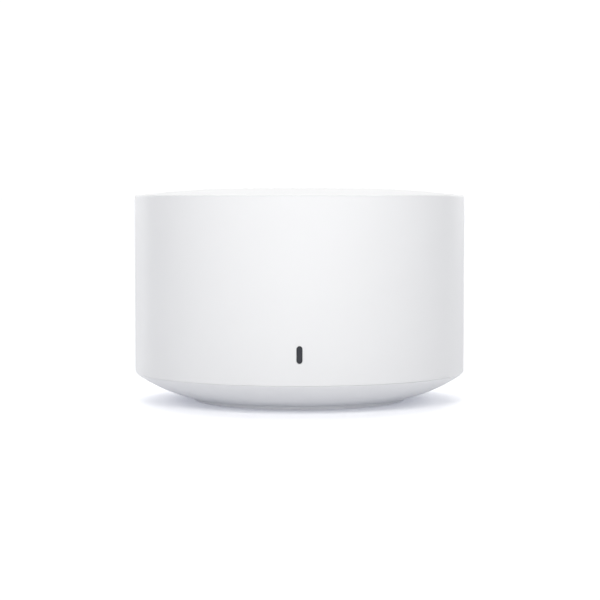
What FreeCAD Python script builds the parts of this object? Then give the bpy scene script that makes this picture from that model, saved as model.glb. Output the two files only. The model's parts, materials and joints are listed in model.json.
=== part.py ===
"""Mesh wifi node: a round table-top housing with a rear port bay, a pair button and the electronics inside.

Millimetres, +Z up. The origin is the centre of the foot ring's underside, the status light faces -Y and the
port bay faces +Y. Every driving dimension is a cell of the Sizes sheet.
"""
import FreeCAD, Part
import math
import os
import re
import Sketcher

Vector = FreeCAD.Vector
Placement = FreeCAD.Placement
Rotation = FreeCAD.Rotation

SIZES = {
    # how far added material reaches into what it joins, and a cutting shape beyond what it cuts
    "join_overlap": 0.5,
    "cut_past": 1.0,
    "side_count": 4,
    # housing: a straight sleeve over a shallow bowl, closed by a slightly domed cover
    "body_radius": 53.0,
    "shell_wall": 2.2,
    "rim_height": 66.0,
    "rim_round": 0.6,
    "seam_height": 9.35,
    "seam_round": 0.2,
    "seat_round": 0.4,
    "ledge_radius": 48.6,
    "ledge_top": 63.9,
    "ledge_thick": 1.3,
    "ledge_slope": 1.8,
    "cover_seat_radius": 51.45,
    "cover_radius": 51.3,
    "cover_thick": 2.0,
    "cover_flat_radius": 17.0,
    "dome_rise": 2.1,
    "dome_radius": 280.0,
    "dome_edge_radius": 51.05,
    "cover_hook_width": 8.0,
    "cover_hook_outer": 48.35,
    "cover_hook_wall": 1.45,
    "cover_hook_drop": 3.5,
    "cover_hook_barb": 0.75,
    "cover_hook_barb_low": 0.9,
    "cover_hook_barb_high": 1.45,
    "cover_hook_barb_end": 2.0,
    "cover_hook_root": 1.0,
    "cover_edge_drop": 0.25,
    "groove_height": 11.1,
    "groove_width": 1.2,
    "groove_depth": 0.5,
    "rib_depth": 1.4,
    "rib_width": 1.2,
    "rib_base": 34.0,
    "rib_top": 60.0,
    "rib_count": 12,
    # base shell: two arcs from the flat underside up to the seam
    "foot_height": 1.3,
    "foot_radius": 34.4,
    "foot_hole_radius": 22.5,
    "foot_round": 0.4,
    "belly_radius": 35.6,
    "belly_via_radius": 43.55,
    "belly_via_height": 3.85,
    "shoulder_radius": 51.07,
    "shoulder_height": 7.78,
    "shoulder_via_radius": 52.09,
    "shoulder_via_height": 8.5,
    "base_edge_chamfer": 0.2,
    "base_floor_top": 3.4,
    "base_inner_floor_radius": 34.9,
    "base_inner_via_radius": 42.76,
    "base_inner_via_height": 6.08,
    "base_inner_turn": 9.3,
    "spigot_radius": 50.65,
    "spigot_wall": 1.6,
    "spigot_top": 12.5,
    "hook_width": 7.0,
    "hook_reach": 0.45,
    "hook_height": 0.8,
    "hook_lift": 0.2,
    "hook_count": 6,
    "spigot_gap_depth": 5.0,
    "vent_inner_radius": 13.5,
    "vent_outer_radius": 20.3,
    "vent_half_width": 0.85,
    "vent_count": 20,
    "label_radius": 11.3,
    "label_thick": 0.25,
    "label_recess_radius": 11.5,
    "label_recess_depth": 0.35,
    # screw columns at the four corners of a square
    "column_offset": 20.86,
    "boss_radius": 4.2,
    "boss_root": 2.4,
    "counterbore_radius": 2.8,
    "counterbore_top": 5.0,
    "screw_hole_radius": 1.45,
    "screw_radius": 1.28,
    "screw_head_radius": 2.4,
    "screw_head_height": 1.8,
    "screw_length": 19.0,
    "screw_cross_width": 0.7,
    "screw_cross_length": 2.6,
    "screw_cross_depth": 1.0,
    "thread_gap": 0.02,
    # board
    "board_base": 11.0,
    "board_thick": 1.6,
    "board_radius": 47.0,
    "board_rear_edge": 39.5,
    "post_x": 38.97,
    "post_y": 18.17,
    "post_radius": 2.2,
    "post_root": 5.3,
    "post_hole_radius": 0.9,
    "post_hole_depth": 4.0,
    "post_screw_hole_radius": 1.15,
    "post_screw_end_gap": 0.5,
    "post_screw_head_radius": 2.0,
    "post_screw_head_height": 1.3,
    "spreader_post_distance": 22.9,
    "spreader_post_radius": 1.6,
    "spreader_base": 8.5,
    "spreader_thick": 1.0,
    "spreader_radius": 24.8,
    "spreader_vent_radius": 2.6,
    "spreader_vent_x": 7.27,
    "spreader_vent_y": 17.55,
    "spreader_vent_count": 8,
    # status light
    "light_height": 18.65,
    "light_slot_width": 1.8,
    "light_slot_length": 5.3,
    "window_gap": 0.05,
    "window_set_back": 0.25,
    "window_flange": 1.1,
    "window_flange_thick": 0.8,
    "window_seat_gap": 0.1,
    "window_root": 0.3,
    "guide_width": 2.8,
    "guide_face_gap": 0.1,
    "guide_depth": 4.4,
    "guide_leg_depth": 3.0,
    "guide_height": 6.8,
    "guide_base_gap": 1.0,
    "seal_wall": 1.0,
    "emitter_width": 2.0,
    "emitter_height": 0.8,
    # port bay
    "bay_half_width": 26.0,
    "bay_bottom": 12.5,
    "bay_top": 31.0,
    "bay_corner": 2.2,
    "bezel_wall": 1.5,
    "bezel_radius": 50.7,
    "panel_back": 40.0,
    "panel_face": 42.0,
    "bay_vent_width": 3.2,
    "bay_vent_depth": 2.6,
    "bay_vent_pitch": 4.8,
    "bay_vent_inset": 0.8,
    "bay_vent_count": 9,
    # network sockets
    "jack_x": 8.5,
    "jack_width": 16.0,
    "jack_height": 13.5,
    "jack_back": 20.6,
    "jack_face": 41.6,
    "jack_sheet": 0.25,
    "jack_gap": 0.15,
    "jack_inset": 0.3,
    "plug_width": 11.9,
    "plug_height": 8.8,
    "plug_depth": 13.0,
    "plug_base": 2.8,
    "latch_width": 6.2,
    "latch_drop": 1.1,
    "latch_key_width": 4.0,
    "latch_key_drop": 2.0,
    "contact_pitch": 1.016,
    "contact_width": 0.4,
    "contact_length": 8.6,
    "contact_slope": 11.0,
    "contact_setback": 1.4,
    "contact_ceiling_gap": 0.1,
    # power inlet
    "inlet_x": 21.4,
    "inlet_height": 6.5,
    "inlet_width": 9.0,
    "inlet_body_height": 11.0,
    "inlet_back": 27.2,
    "inlet_body_face": 39.9,
    "inlet_nose_radius": 4.1,
    "inlet_face": 41.9,
    "inlet_bore_radius": 3.15,
    "inlet_bore_depth": 10.5,
    "inlet_pin_radius": 1.0,
    "inlet_pin_set_back": 1.2,
    "inlet_leaf_width": 1.6,
    "inlet_leaf_thick": 0.3,
    "inlet_leaf_length": 8.0,
    "inlet_leaf_lift": 0.25,
    "inlet_hole_radius": 4.25,
    # pair button and its switch
    "button_x": -22.0,
    "button_height": 16.2,
    "button_radius": 2.5,
    "button_hole_radius": 2.65,
    "button_proud": 0.6,
    "button_round": 0.4,
    "button_flange_radius": 3.4,
    "button_flange_back": 39.0,
    "button_flange_face": 39.9,
    "button_stem_radius": 1.2,
    "button_stem_back": 37.9,
    "switch_width": 6.2,
    "switch_tall": 6.2,
    "switch_back": 33.0,
    "switch_face": 36.4,
    "switch_bore_radius": 1.9,
    "switch_bore_back": 33.9,
    "plunger_radius": 1.75,
    "plunger_back": 34.6,
    "plunger_gap": 0.02,
    "bracket_sheet": 0.3,
    "bracket_hole_radius": 2.2,
    # electronics on the board
    "cpu_shield_width": 30.0,
    "cpu_shield_depth": 26.0,
    "shield_height": 2.4,
    "shield_sheet": 0.25,
    "cpu_y": -7.0,
    "radio_x": 33.0,
    "radio_shield_width": 16.0,
    "radio_shield_depth": 22.0,
    "cpu_chip_width": 14.0,
    "cpu_chip_x": -6.0,
    "memory_chip_x": 7.5,
    "memory_chip_width": 9.0,
    "memory_chip_depth": 13.0,
    "chip_height": 1.2,
    "low_chip_height": 0.9,
    "radio_chip_width": 8.0,
    "pad_width": 24.0,
    "pad_depth": 22.0,
    "pad_thick": 1.0,
    "under_pad_thick": 1.5,
    "magnetics_width": 12.7,
    "magnetics_depth": 7.0,
    "magnetics_height": 4.4,
    "magnetics_y": 12.5,
    "inductor_width": 6.0,
    "inductor_height": 3.0,
    "capacitor_radius": 3.15,
    "capacitor_height": 7.0,
    "capacitor_base_height": 1.0,
    "capacitor_base_width": 6.4,
    "passive_length": 1.6,
    "passive_width": 0.8,
    "passive_height": 0.6,
    # heat sink
    "sink_width": 33.4,
    "sink_front": -24.0,
    "sink_rear": 10.0,
    "sink_base_thick": 3.0,
    "fin_thick": 1.2,
    "fin_pitch": 4.6,
    "fin_height": 19.0,
    "fin_count": 8,
    "sink_screw_x": 13.8,
    "sink_screw_front": -21.8,
    "sink_screw_rear": 7.8,
    "sink_screw_radius": 1.0,
    "sink_screw_hole": 1.15,
    "sink_screw_head_radius": 1.6,
    "sink_screw_head_height": 1.3,
    "sink_screw_end": 0.2,
    "sink_slot_width": 0.4,
    "sink_slot_depth": 0.6,
    "sink_nut_radius": 2.0,
    "sink_nut_height": 1.1,
    # antenna carrier and antennas
    "carrier_plate_base": 50.0,
    "carrier_plate_thick": 2.0,
    "carrier_radius": 47.5,
    "carrier_hole_radius": 16.5,
    "carrier_window_radius": 2.4,
    "carrier_window_x": 22.9,
    "carrier_window_y": 25.4,
    "stand_notch_left": 7.2,
    "stand_notch_low": 53.9,
    "stand_notch_high": 56.5,
    "leg_radius": 3.4,
    "leg_pilot_radius": 1.3,
    "leg_pilot_depth": 14.0,
    "carrier_rib_inner": 27.6,
    "carrier_rib_outer": 31.4,
    "carrier_rib_drop": 3.0,
    "stand_half_width": 12.0,
    "stand_back": 36.4,
    "stand_face": 39.8,
    "stand_height": 8.0,
    "antenna_sheet": 0.4,
    "antenna_half_width": 13.0,
    "antenna_top": 61.2,
    "antenna_bar_base": 58.0,
    "antenna_leg_base": 54.2,
    "antenna_short_width": 1.5,
    "antenna_feed_left": 8.0,
    "antenna_feed_right": 9.4,
    "antenna_lip": 5.3,
    # antenna cables
    "cable_radius": 0.565,
    "cable_offset": 24.2,
    "cable_start_x": 35.5,
    "cable_start_y": 15.0,
    "cable_start_height": 14.3,
    "cable_top": 55.2,
    "cable_end_x": 8.7,
    "cable_end_y": 39.3,
    "clip_radius": 1.5,
    "clip_hole_radius": 0.75,
    "clip_height": 3.0,
    "clip_low": 24.0,
    "clip_high": 40.0,
    "plug_radius": 1.5,
    "plug_base_height": 13.55,
    "plug_tall": 1.5,
    "plug_lead_gap": 0.05,
    "socket_width": 2.6,
    "socket_base_height": 0.35,
    "socket_radius": 1.0,
    "socket_tall": 0.6,
    "socket_root": 0.1,
}

# each package on the board: its width, depth, height and centre
PACKAGES = {
    "cpu_chip": ("cpu_chip_width", "cpu_chip_width", "chip_height", "cpu_chip_x", "cpu_y"),
    "memory_chip": ("memory_chip_width", "memory_chip_depth", "low_chip_height", "memory_chip_x", "cpu_y"),
    "switch_chip": ("9", "9", "low_chip_height", "-31", "25"),
    "flash_chip": ("6", "5", "low_chip_height", "-12", "-32"),
    "crystal_can": ("3.2", "2.5", "0.8", "-20", "-31"),
}
INDUCTOR_PLACES = (("12", "-33"), ("20", "-30"))
CAPACITOR_PLACES = (("29", "-32"), ("21.5", "-38"))
# rows of small passives: the first one's centre and how many follow to its right
PASSIVE_ROWS = ((-14, 8.6, 7), (-10, -23.5, 6), (-8, -27.5, 4), (29, -13.6, 2), (-33, -13.6, 2))
PASSIVE_PITCH = 4
CONTACT_COUNT = 8

BOARD_TOP = "(board_base + board_thick)"
SLEEVE_INNER = "(body_radius - shell_wall)"
FLOOR_BASE = "foot_height"
DIAGONAL = 1 - math.sqrt(0.5)
CORNERS = ((1, 1), (-1, 1), (-1, -1), (1, -1))
TOLERANCE = 1e-6
BEND_SHARE = 0.45    # of a lead's shorter run, taken up by its bend

doc = FreeCAD.newDocument("mesh_wifi_node")
sheet = doc.addObject("Spreadsheet::Sheet", "Sizes")
nodes = []


def fill_sheet():
    for row, (name, size) in enumerate(SIZES.items(), 1):
        sheet.set(f"A{row}", name)
        sheet.set(f"B{row}", str(size))
        sheet.setAlias(f"B{row}", name)
    doc.recompute()


# ---------------------------------------------------------------- bound values

def linked(text):
    """The expression with each size name written as a reference to its cell."""
    def reference(match):
        name = match.group()
        return "Sizes." + name if name in SIZES else name

    return re.sub(r"[A-Za-z_]\w*", reference, str(text))


def value(text):
    return float(sheet.evalExpression(linked(text)))


def bind(item, **properties):
    for name, text in properties.items():
        path = f".Placement.Base.{name}" if name in "xyz" else name
        item.setExpression(path, linked(text))


def node(label, item):
    """Marks a finished object as a sub-part, whose Label names its file."""
    item.Label = label
    nodes.append(item)
    return item


# ---------------------------------------------------------------- primitives and booleans

TURNS = {"x": Rotation(Vector(0, 1, 0), 90), "y": Rotation(Vector(1, 0, 0), -90), "z": Rotation()}


def block(name, size, corner):
    item = doc.addObject("Part::Box", name)
    bind(item, Length=size[0], Width=size[1], Height=size[2], x=corner[0], y=corner[1], z=corner[2])
    return item


def rod(name, radius, length, start, along="z"):
    item = doc.addObject("Part::Cylinder", name)
    item.Placement = Placement(Vector(), TURNS[along])
    bind(item, Radius=radius, Height=length, x=start[0], y=start[1], z=start[2])
    return item


def fuse(name, *shapes):
    item = doc.addObject("Part::MultiFuse", name)
    item.Shapes = list(shapes)
    return item


def group(name, *shapes):
    item = doc.addObject("Part::Compound", name)
    item.Links = list(shapes)
    return item


def cut(name, base, *tools):
    item = doc.addObject("Part::Cut", name)
    item.Base = base
    item.Tool = tools[0] if len(tools) == 1 else group(name + "_tools", *tools)
    return item


# ---------------------------------------------------------------- sketches and features

def origin_part(body, role):
    return next(feature for feature in body.Origin.OriginFeatures if feature.Role == role)


def new_body(label):
    return doc.addObject("PartDesign::Body", label)


def place_point(drawing, geometry, end, x, y):
    for kind, text in (("DistanceX", x), ("DistanceY", y)):
        index = drawing.addConstraint(Sketcher.Constraint(kind, -1, 1, geometry, end, value(text)))
        drawing.setExpression(f"Constraints[{index}]", linked(text))


def add_circle(drawing, x, y, radius):
    centre = Vector(value(x), value(y), 0)
    index = drawing.addGeometry(Part.Circle(centre, Vector(0, 0, 1), value(radius)), False)
    place_point(drawing, index, 3, x, y)
    size = drawing.addConstraint(Sketcher.Constraint("Radius", index, value(radius)))
    drawing.setExpression(f"Constraints[{size}]", linked(radius))


def add_outline(drawing, corners):
    """A closed outline. A corner is (x, y), or (x, y, via_x, via_y) where an arc leads on through via."""
    points = [Vector(value(c[0]), value(c[1]), 0) for c in corners]
    edges = []
    for i, corner in enumerate(corners):
        start, end = points[i], points[(i + 1) % len(points)]
        if len(corner) == 2:
            edges.append(drawing.addGeometry(Part.LineSegment(start, end), False))
            continue
        via = Vector(value(corner[2]), value(corner[3]), 0)
        arc = Part.Arc(start, via, end).toShape().Curve
        ends = sorted((arc.parameter(start), arc.parameter(end)))
        middle = arc.parameter(via)
        if not ends[0] < middle < ends[1]:
            ends = [ends[1], ends[0] + 2 * math.pi]
        edge = drawing.addGeometry(Part.ArcOfCircle(arc, ends[0], ends[1]), False)
        edges.append(edge)
        guide = drawing.addGeometry(Part.Point(via), True)
        place_point(drawing, guide, 1, corner[2], corner[3])
        drawing.addConstraint(Sketcher.Constraint("PointOnObject", guide, 1, edge))
    for i, edge in enumerate(edges):
        start, following = points[i], edges[(i + 1) % len(edges)]
        begins = drawing.getPoint(edge, 1).distanceToPoint(start) < TOLERANCE
        next_start = points[(i + 1) % len(points)]
        next_begins = drawing.getPoint(following, 1).distanceToPoint(next_start) < TOLERANCE
        last, first = (2 if begins else 1), (1 if next_begins else 2)
        drawing.addConstraint(Sketcher.Constraint("Coincident", edge, last, following, first))
        place_point(drawing, edge, 1 if begins else 2, corners[i][0], corners[i][1])


def sketch(body, plane, offset="0", outlines=(), circles=()):
    drawing = body.newObject("Sketcher::SketchObject", body.Name + "_sketch")
    drawing.AttachmentSupport = (origin_part(body, plane + "_Plane"), "")
    drawing.MapMode = "FlatFace"
    drawing.setExpression(".AttachmentOffset.Base.z", linked(offset))
    for corners in outlines:
        add_outline(drawing, corners)
    for x, y, radius in circles:
        add_circle(drawing, x, y, radius)
    doc.recompute()
    return drawing


def feature(body, kind, drawing, adds, **properties):
    """A PartDesign feature, checked to have added or removed material."""
    before = body.Shape.Volume if body.Tip else 0.0
    item = body.newObject("PartDesign::" + kind, body.Name + "_" + kind.lower())
    item.Profile = drawing
    for name, setting in properties.items():
        if name == "Length":
            item.setExpression(name, linked(setting))
        else:
            setattr(item, name, setting)
    drawing.Visibility = False
    doc.recompute()
    change = body.Shape.Volume - before
    if (change > 0) != adds or abs(change) < TOLERANCE:
        raise ValueError(f"{item.Name} changed the volume by {change:.4f}")
    return item


def pad(body, drawing, length, backwards=False):
    return feature(body, "Pad", drawing, True, Length=length, Reversed=backwards)


def pocket(body, drawing, length, backwards=False):
    return feature(body, "Pocket", drawing, False, Length=length, Reversed=backwards)


def revolve(body, drawing):
    return feature(body, "Revolution", drawing, True, ReferenceAxis=(drawing, ["V_Axis"]), Angle=360.0)


def around(body, original, count):
    """Repeats a feature evenly round the vertical axis."""
    item = body.newObject("PartDesign::PolarPattern", body.Name + "_pattern")
    item.Originals = [original]
    item.Axis = (origin_part(body, "Z_Axis"), [""])
    item.Angle = 360.0
    item.setExpression("Occurrences", linked(count))
    body.Tip = item
    doc.recompute()
    return item


def along_x(body, original, count, pitch):
    item = body.newObject("PartDesign::LinearPattern", body.Name + "_row")
    item.Originals = [original]
    item.Direction = (origin_part(body, "X_Axis"), [""])
    item.setExpression("Length", linked(f"({count} - 1) * {pitch}"))
    item.setExpression("Occurrences", linked(count))
    body.Tip = item
    doc.recompute()
    return item


def rectangle(left, right, low, high):
    return [(left, low), (right, low), (right, high), (left, high)]


def rounded(left, right, low, high, radius):
    """A rectangle with quarter-round corners."""
    near, far = f"{DIAGONAL} * {radius}", f"{radius}"
    return [
        (f"{left} + {far}", low),
        (f"{right} - {far}", low, f"{right} - {near}", f"{low} + {near}"),
        (right, f"{low} + {far}"),
        (right, f"{high} - {far}", f"{right} - {near}", f"{high} - {near}"),
        (f"{right} - {far}", high),
        (f"{left} + {far}", high, f"{left} + {near}", f"{high} - {near}"),
        (left, f"{high} - {far}"),
        (left, f"{low} + {far}", f"{left} + {near}", f"{low} + {near}"),
    ]


def slot(centre_x, centre_y, half_width, half_length):
    """An upright slot with round ends."""
    low, high = f"{centre_y} - {half_length} + {half_width}", f"{centre_y} + {half_length} - {half_width}"
    right, left = f"{centre_x} + {half_width}", f"{centre_x} - {half_width}"
    return [
        (right, low),
        (right, high, centre_x, f"{high} + {half_width}"),
        (left, high),
        (left, low, centre_x, f"{low} - {half_width}"),
    ]


def at_columns(radius):
    return [(f"{sx} * column_offset", f"{sy} * column_offset", radius) for sx, sy in CORNERS]


# ---------------------------------------------------------------- housing

def outer_sleeve():
    body = new_body("outer_sleeve_body")
    near = f"{DIAGONAL} * rim_round"
    low = f"{DIAGONAL} * seam_round"
    seat = f"{DIAGONAL} * seat_round"
    profile = [
        (SLEEVE_INNER, "seam_height"),
        ("body_radius - seam_round", "seam_height", f"body_radius - {low}", f"seam_height + {low}"),
        ("body_radius", "seam_height + seam_round"),
        ("body_radius", "rim_height - rim_round", f"body_radius - {near}", f"rim_height - {near}"),
        ("body_radius - rim_round", "rim_height"),
        ("cover_seat_radius + seat_round", "rim_height",
         f"cover_seat_radius + {seat}", f"rim_height - {seat}"),
        ("cover_seat_radius", "rim_height - seat_round"),
        ("cover_seat_radius", "ledge_top"),
        ("ledge_radius", "ledge_top"),
        ("ledge_radius", "ledge_top - ledge_thick"),
        (SLEEVE_INNER, "ledge_top - ledge_thick - ledge_slope"),
        (SLEEVE_INNER, "groove_height + groove_width"),
        (f"{SLEEVE_INNER} + groove_depth", "groove_height + groove_width"),
        (f"{SLEEVE_INNER} + groove_depth", "groove_height"),
        (SLEEVE_INNER, "groove_height"),
    ]
    revolve(body, sketch(body, "XZ", outlines=[profile]))
    rib = rectangle("-rib_width / 2", "rib_width / 2",
                    f"{SLEEVE_INNER} - rib_depth", f"{SLEEVE_INNER} + join_overlap")
    first_rib = pad(body, sketch(body, "XY", "rib_base", [rib]), "rib_top - rib_base")
    around(body, first_rib, "rib_count")
    window = rounded("-bay_half_width", "bay_half_width", "bay_bottom", "bay_top", "bay_corner")
    pocket(body, sketch(body, "XZ", "0", [window]), "body_radius + cut_past")
    light = slot("0", "light_height", "light_slot_width / 2", "light_slot_length / 2")
    pocket(body, sketch(body, "XZ", "0", [light]), "body_radius + cut_past", backwards=True)
    node("outer_sleeve", body)


def dome_height(radius, top):
    """The height of the domed surface at a radius outside its flat centre."""
    return f"{top} - ({radius} - cover_flat_radius)^2 / (2 * dome_radius)"


def top_cover():
    body = new_body("top_cover_body")
    top, under = "(rim_height + dome_rise)", "(rim_height + dome_rise - cover_thick)"
    mid, inner_edge = "(dome_edge_radius + cover_flat_radius) / 2", "(cover_radius - cover_thick)"
    profile = [
        ("0", under),
        ("0", top),
        ("cover_flat_radius", top, mid, dome_height(mid, top)),
        ("dome_edge_radius", dome_height("dome_edge_radius", top)),
        ("cover_radius", dome_height("cover_radius", top) + " - cover_edge_drop"),
        ("cover_radius", "ledge_top"),
        (inner_edge, "ledge_top"),
        (inner_edge, dome_height(inner_edge, under), mid, dome_height(mid, under)),
        ("cover_flat_radius", under),
    ]
    revolve(body, sketch(body, "XZ", outlines=[profile]))
    outer, barb = "cover_hook_outer", "(cover_hook_outer + cover_hook_barb)"
    foot, root = "ledge_top - cover_hook_drop", "ledge_top + cover_hook_root"
    hook = [
        (f"{outer} - cover_hook_wall", root),
        (f"{outer} - cover_hook_wall", foot),
        (outer, foot),
        (barb, f"{foot} + cover_hook_barb_low"),
        (barb, f"{foot} + cover_hook_barb_high"),
        (outer, f"{foot} + cover_hook_barb_end"),
        (outer, root),
    ]
    drawing = sketch(body, "XZ", "-cover_hook_width / 2", [hook])
    around(body, pad(body, drawing, "cover_hook_width"), "side_count")
    node("top_cover", body)


def base_shell():
    body = new_body("base_shell_body")
    edge, inner = "base_edge_chamfer", "(spigot_radius - spigot_wall)"
    profile = [
        ("0", FLOOR_BASE),
        ("belly_radius", FLOOR_BASE, "belly_via_radius", "belly_via_height"),
        ("shoulder_radius", "shoulder_height", "shoulder_via_radius", "shoulder_via_height"),
        (f"body_radius - {edge}", f"seam_height - {edge}"),
        (f"body_radius - 2 * {edge}", "seam_height"),
        ("spigot_radius", "seam_height"),
        ("spigot_radius", "spigot_top"),
        (inner, "spigot_top"),
        (inner, "base_inner_turn", "base_inner_via_radius", "base_inner_via_height"),
        ("base_inner_floor_radius", "base_floor_top"),
        ("0", "base_floor_top"),
    ]
    revolve(body, sketch(body, "XZ", outlines=[profile]))
    bosses = sketch(body, "XY", "boss_root", circles=at_columns("boss_radius"))
    pad(body, bosses, "board_base - boss_root")
    posts = [(f"{side} * post_x", "-post_y", "post_radius") for side in (1, -1)]
    pad(body, sketch(body, "XY", "post_root", circles=posts), "board_base - post_root")
    stand = [("spreader_post_distance", "0", "spreader_post_radius")]
    first_stand = pad(body, sketch(body, "XY", "boss_root", circles=stand), "spreader_base - boss_root")
    around(body, first_stand, "side_count")
    bump = rectangle("-hook_width / 2", "hook_width / 2",
                     "spigot_radius - join_overlap", "spigot_radius + hook_reach")
    first_hook = pad(body, sketch(body, "XY", "groove_height + hook_lift", [bump]), "hook_height")
    around(body, first_hook, "hook_count")
    gap_half = "(bay_half_width + bezel_wall + cut_past)"
    rear = rectangle(f"-{gap_half}", gap_half, "panel_back - spigot_gap_depth", "body_radius + cut_past")
    drawing = sketch(body, "XY", "seam_height", [rear])
    pocket(body, drawing, "spigot_top - seam_height + cut_past", backwards=True)
    heads = sketch(body, "XY", "0", circles=at_columns("counterbore_radius"))
    pocket(body, heads, "counterbore_top", backwards=True)
    shanks = sketch(body, "XY", "0", circles=at_columns("screw_hole_radius"))
    pocket(body, shanks, "board_base + cut_past", backwards=True)
    holes = [(f"{side} * post_x", "-post_y", "post_hole_radius") for side in (1, -1)]
    pocket(body, sketch(body, "XY", "board_base", circles=holes), "post_hole_depth")
    centre = "(vent_inner_radius + vent_outer_radius) / 2"
    reach = "(vent_outer_radius - vent_inner_radius) / 2"
    vent = sketch(body, "XY", "0", [slot("0", centre, "vent_half_width", reach)])
    around(body, pocket(body, vent, "base_floor_top + cut_past", backwards=True), "vent_count")
    label = sketch(body, "XY", "0", circles=[("0", "0", "label_recess_radius")])
    pocket(body, label, "foot_height + label_recess_depth", backwards=True)
    node("base_shell", body)


def foot_ring():
    body = new_body("foot_ring_body")
    near = f"{DIAGONAL} * foot_round"
    profile = [
        ("foot_hole_radius + foot_round", "0"),
        ("foot_radius - foot_round", "0", f"foot_radius - {near}", near),
        ("foot_radius", "foot_round"),
        ("foot_radius", "foot_height"),
        ("foot_hole_radius", "foot_height"),
        ("foot_hole_radius", "foot_round", f"foot_hole_radius + {near}", near),
    ]
    revolve(body, sketch(body, "XZ", outlines=[profile]))
    node("foot_ring", body)


def rating_label():
    height = "foot_height + label_recess_depth - label_thick"
    node("rating_label", rod("label_disc", "label_radius", "label_thick", ("0", "0", height)))


def port_bezel():
    body = new_body("port_bezel_body")
    half = "(bay_half_width + bezel_wall)"
    side = f"sqrt(bezel_radius^2 - {half}^2)"
    footprint = [
        (f"-{half}", "panel_back"),
        (half, "panel_back"),
        (half, side, "0", "bezel_radius"),
        (f"-{half}", side),
    ]
    pad(body, sketch(body, "XY", "seam_height", [footprint]), "bay_top + bezel_wall - seam_height")
    tunnel = rounded("-bay_half_width", "bay_half_width", "bay_bottom", "bay_top", "bay_corner")
    pocket(body, sketch(body, "XZ", "-panel_face", [tunnel]), "body_radius")
    gap = "jack_gap"
    for side_sign in (1, -1):
        centre = f"{side_sign} * jack_x"
        hole = rectangle(f"{centre} - jack_width / 2 - {gap}", f"{centre} + jack_width / 2 + {gap}",
                         "bay_bottom", f"{BOARD_TOP} + jack_height + {gap}")
        pocket(body, sketch(body, "XZ", "0", [hole]), "body_radius")
    rounds = [("inlet_x", f"{BOARD_TOP} + inlet_height", "inlet_hole_radius"),
              ("button_x", "button_height", "button_hole_radius")]
    pocket(body, sketch(body, "XZ", "0", circles=rounds), "body_radius")
    vents = []
    low, high = "panel_face + bay_vent_inset", "panel_face + bay_vent_inset + bay_vent_depth"
    for i in range(SIZES["bay_vent_count"]):
        left = f"({i} - (bay_vent_count - 1) / 2) * bay_vent_pitch - bay_vent_width / 2"
        vents.append(rounded(left, f"{left} + bay_vent_width", low, high, "bay_vent_inset"))
    pocket(body, sketch(body, "XY", "bay_top + bezel_wall + cut_past", vents), "bezel_wall + 2 * cut_past")
    node("port_bezel", body)


# ---------------------------------------------------------------- status light

def led_window():
    body = new_body("led_window_body")
    half, reach = "(light_slot_width / 2 - window_gap)", "(light_slot_length / 2 - window_gap)"
    lens = slot("0", "light_height", half, reach)
    depth = "shell_wall - window_set_back + window_root"
    pad(body, sketch(body, "XZ", f"{SLEEVE_INNER} - window_root", [lens]), depth)
    flange = slot("0", "light_height", f"({half} + window_flange)", f"({reach} + window_flange)")
    flange_back = f"{SLEEVE_INNER} - window_seat_gap - window_flange_thick"
    pad(body, sketch(body, "XZ", flange_back, [flange]), "window_flange_thick")
    node("led_window", body)


GUIDE_FACE = f"({SLEEVE_INNER} - window_seat_gap - window_flange_thick - guide_face_gap)"
GUIDE_BACK = f"({GUIDE_FACE} - guide_depth)"
GUIDE_BASE = f"({BOARD_TOP} + guide_base_gap)"


def light_guide():
    body = new_body("light_guide_body")
    low, high = "light_height - guide_height / 2", "light_height + guide_height / 2"
    leg = f"-({GUIDE_BACK} - guide_leg_depth)"
    elbow = [
        (f"-{GUIDE_FACE}", low),
        (f"-{GUIDE_BACK}", low),
        (f"-{GUIDE_BACK}", GUIDE_BASE),
        (leg, GUIDE_BASE),
        (leg, f"{high} - guide_leg_depth - guide_depth / 2"),
        (f"-{GUIDE_BACK} + guide_leg_depth / 4", high),
        (f"-{GUIDE_FACE}", high),
    ]
    pad(body, sketch(body, "YZ", "-guide_width / 2", [elbow]), "guide_width")
    node("light_guide", body)


def light_seal():
    wall = "seal_wall"
    low, high = "light_height - guide_height / 2", "light_height + guide_height / 2"
    front, back = f"-{GUIDE_FACE}", f"(-{GUIDE_BACK} + guide_leg_depth)"
    size = (f"guide_width + 2 * {wall}", f"{back} - {front} + {wall}", f"{high} + {wall} - {BOARD_TOP}")
    outer = block("seal_outer", size, (f"-guide_width / 2 - {wall}", front, BOARD_TOP))
    hollow = block("seal_hollow", ("guide_width", f"{back} - {front} + cut_past", f"{high} - ({low})"),
                   ("-guide_width / 2", f"{front} - cut_past", low))
    leg_hole = block("seal_leg_hole", ("guide_width", "guide_leg_depth", "guide_height"),
                     ("-guide_width / 2", f"-{GUIDE_BACK}", f"{BOARD_TOP} - cut_past"))
    node("light_seal", cut("light_seal_cut", outer, hollow, leg_hole))


def led_emitter():
    size = ("emitter_width", "emitter_width", "emitter_height")
    corner = ("-emitter_width / 2", f"-{GUIDE_BACK} + (guide_leg_depth - emitter_width) / 2", BOARD_TOP)
    node("led_emitter", block("emitter_block", size, corner))


# ---------------------------------------------------------------- board and its parts

def main_board():
    body = new_body("main_board_body")
    side = "sqrt(board_radius^2 - board_rear_edge^2)"
    outline = [
        (f"-{side}", "board_rear_edge", "0", "-board_radius"),
        (side, "board_rear_edge"),
    ]
    pad(body, sketch(body, "XY", "board_base", [outline]), "board_thick")
    holes = at_columns("screw_hole_radius")
    holes += [(f"{side_sign} * post_x", "-post_y", "post_screw_hole_radius") for side_sign in (1, -1)]
    holes += [("-sink_screw_x", "sink_screw_front", "sink_screw_hole"),
              ("sink_screw_x", "sink_screw_rear", "sink_screw_hole")]
    pocket(body, sketch(body, "XY", f"{BOARD_TOP} + cut_past", circles=holes), "board_thick + 2 * cut_past")
    node("main_board", body)


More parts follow.
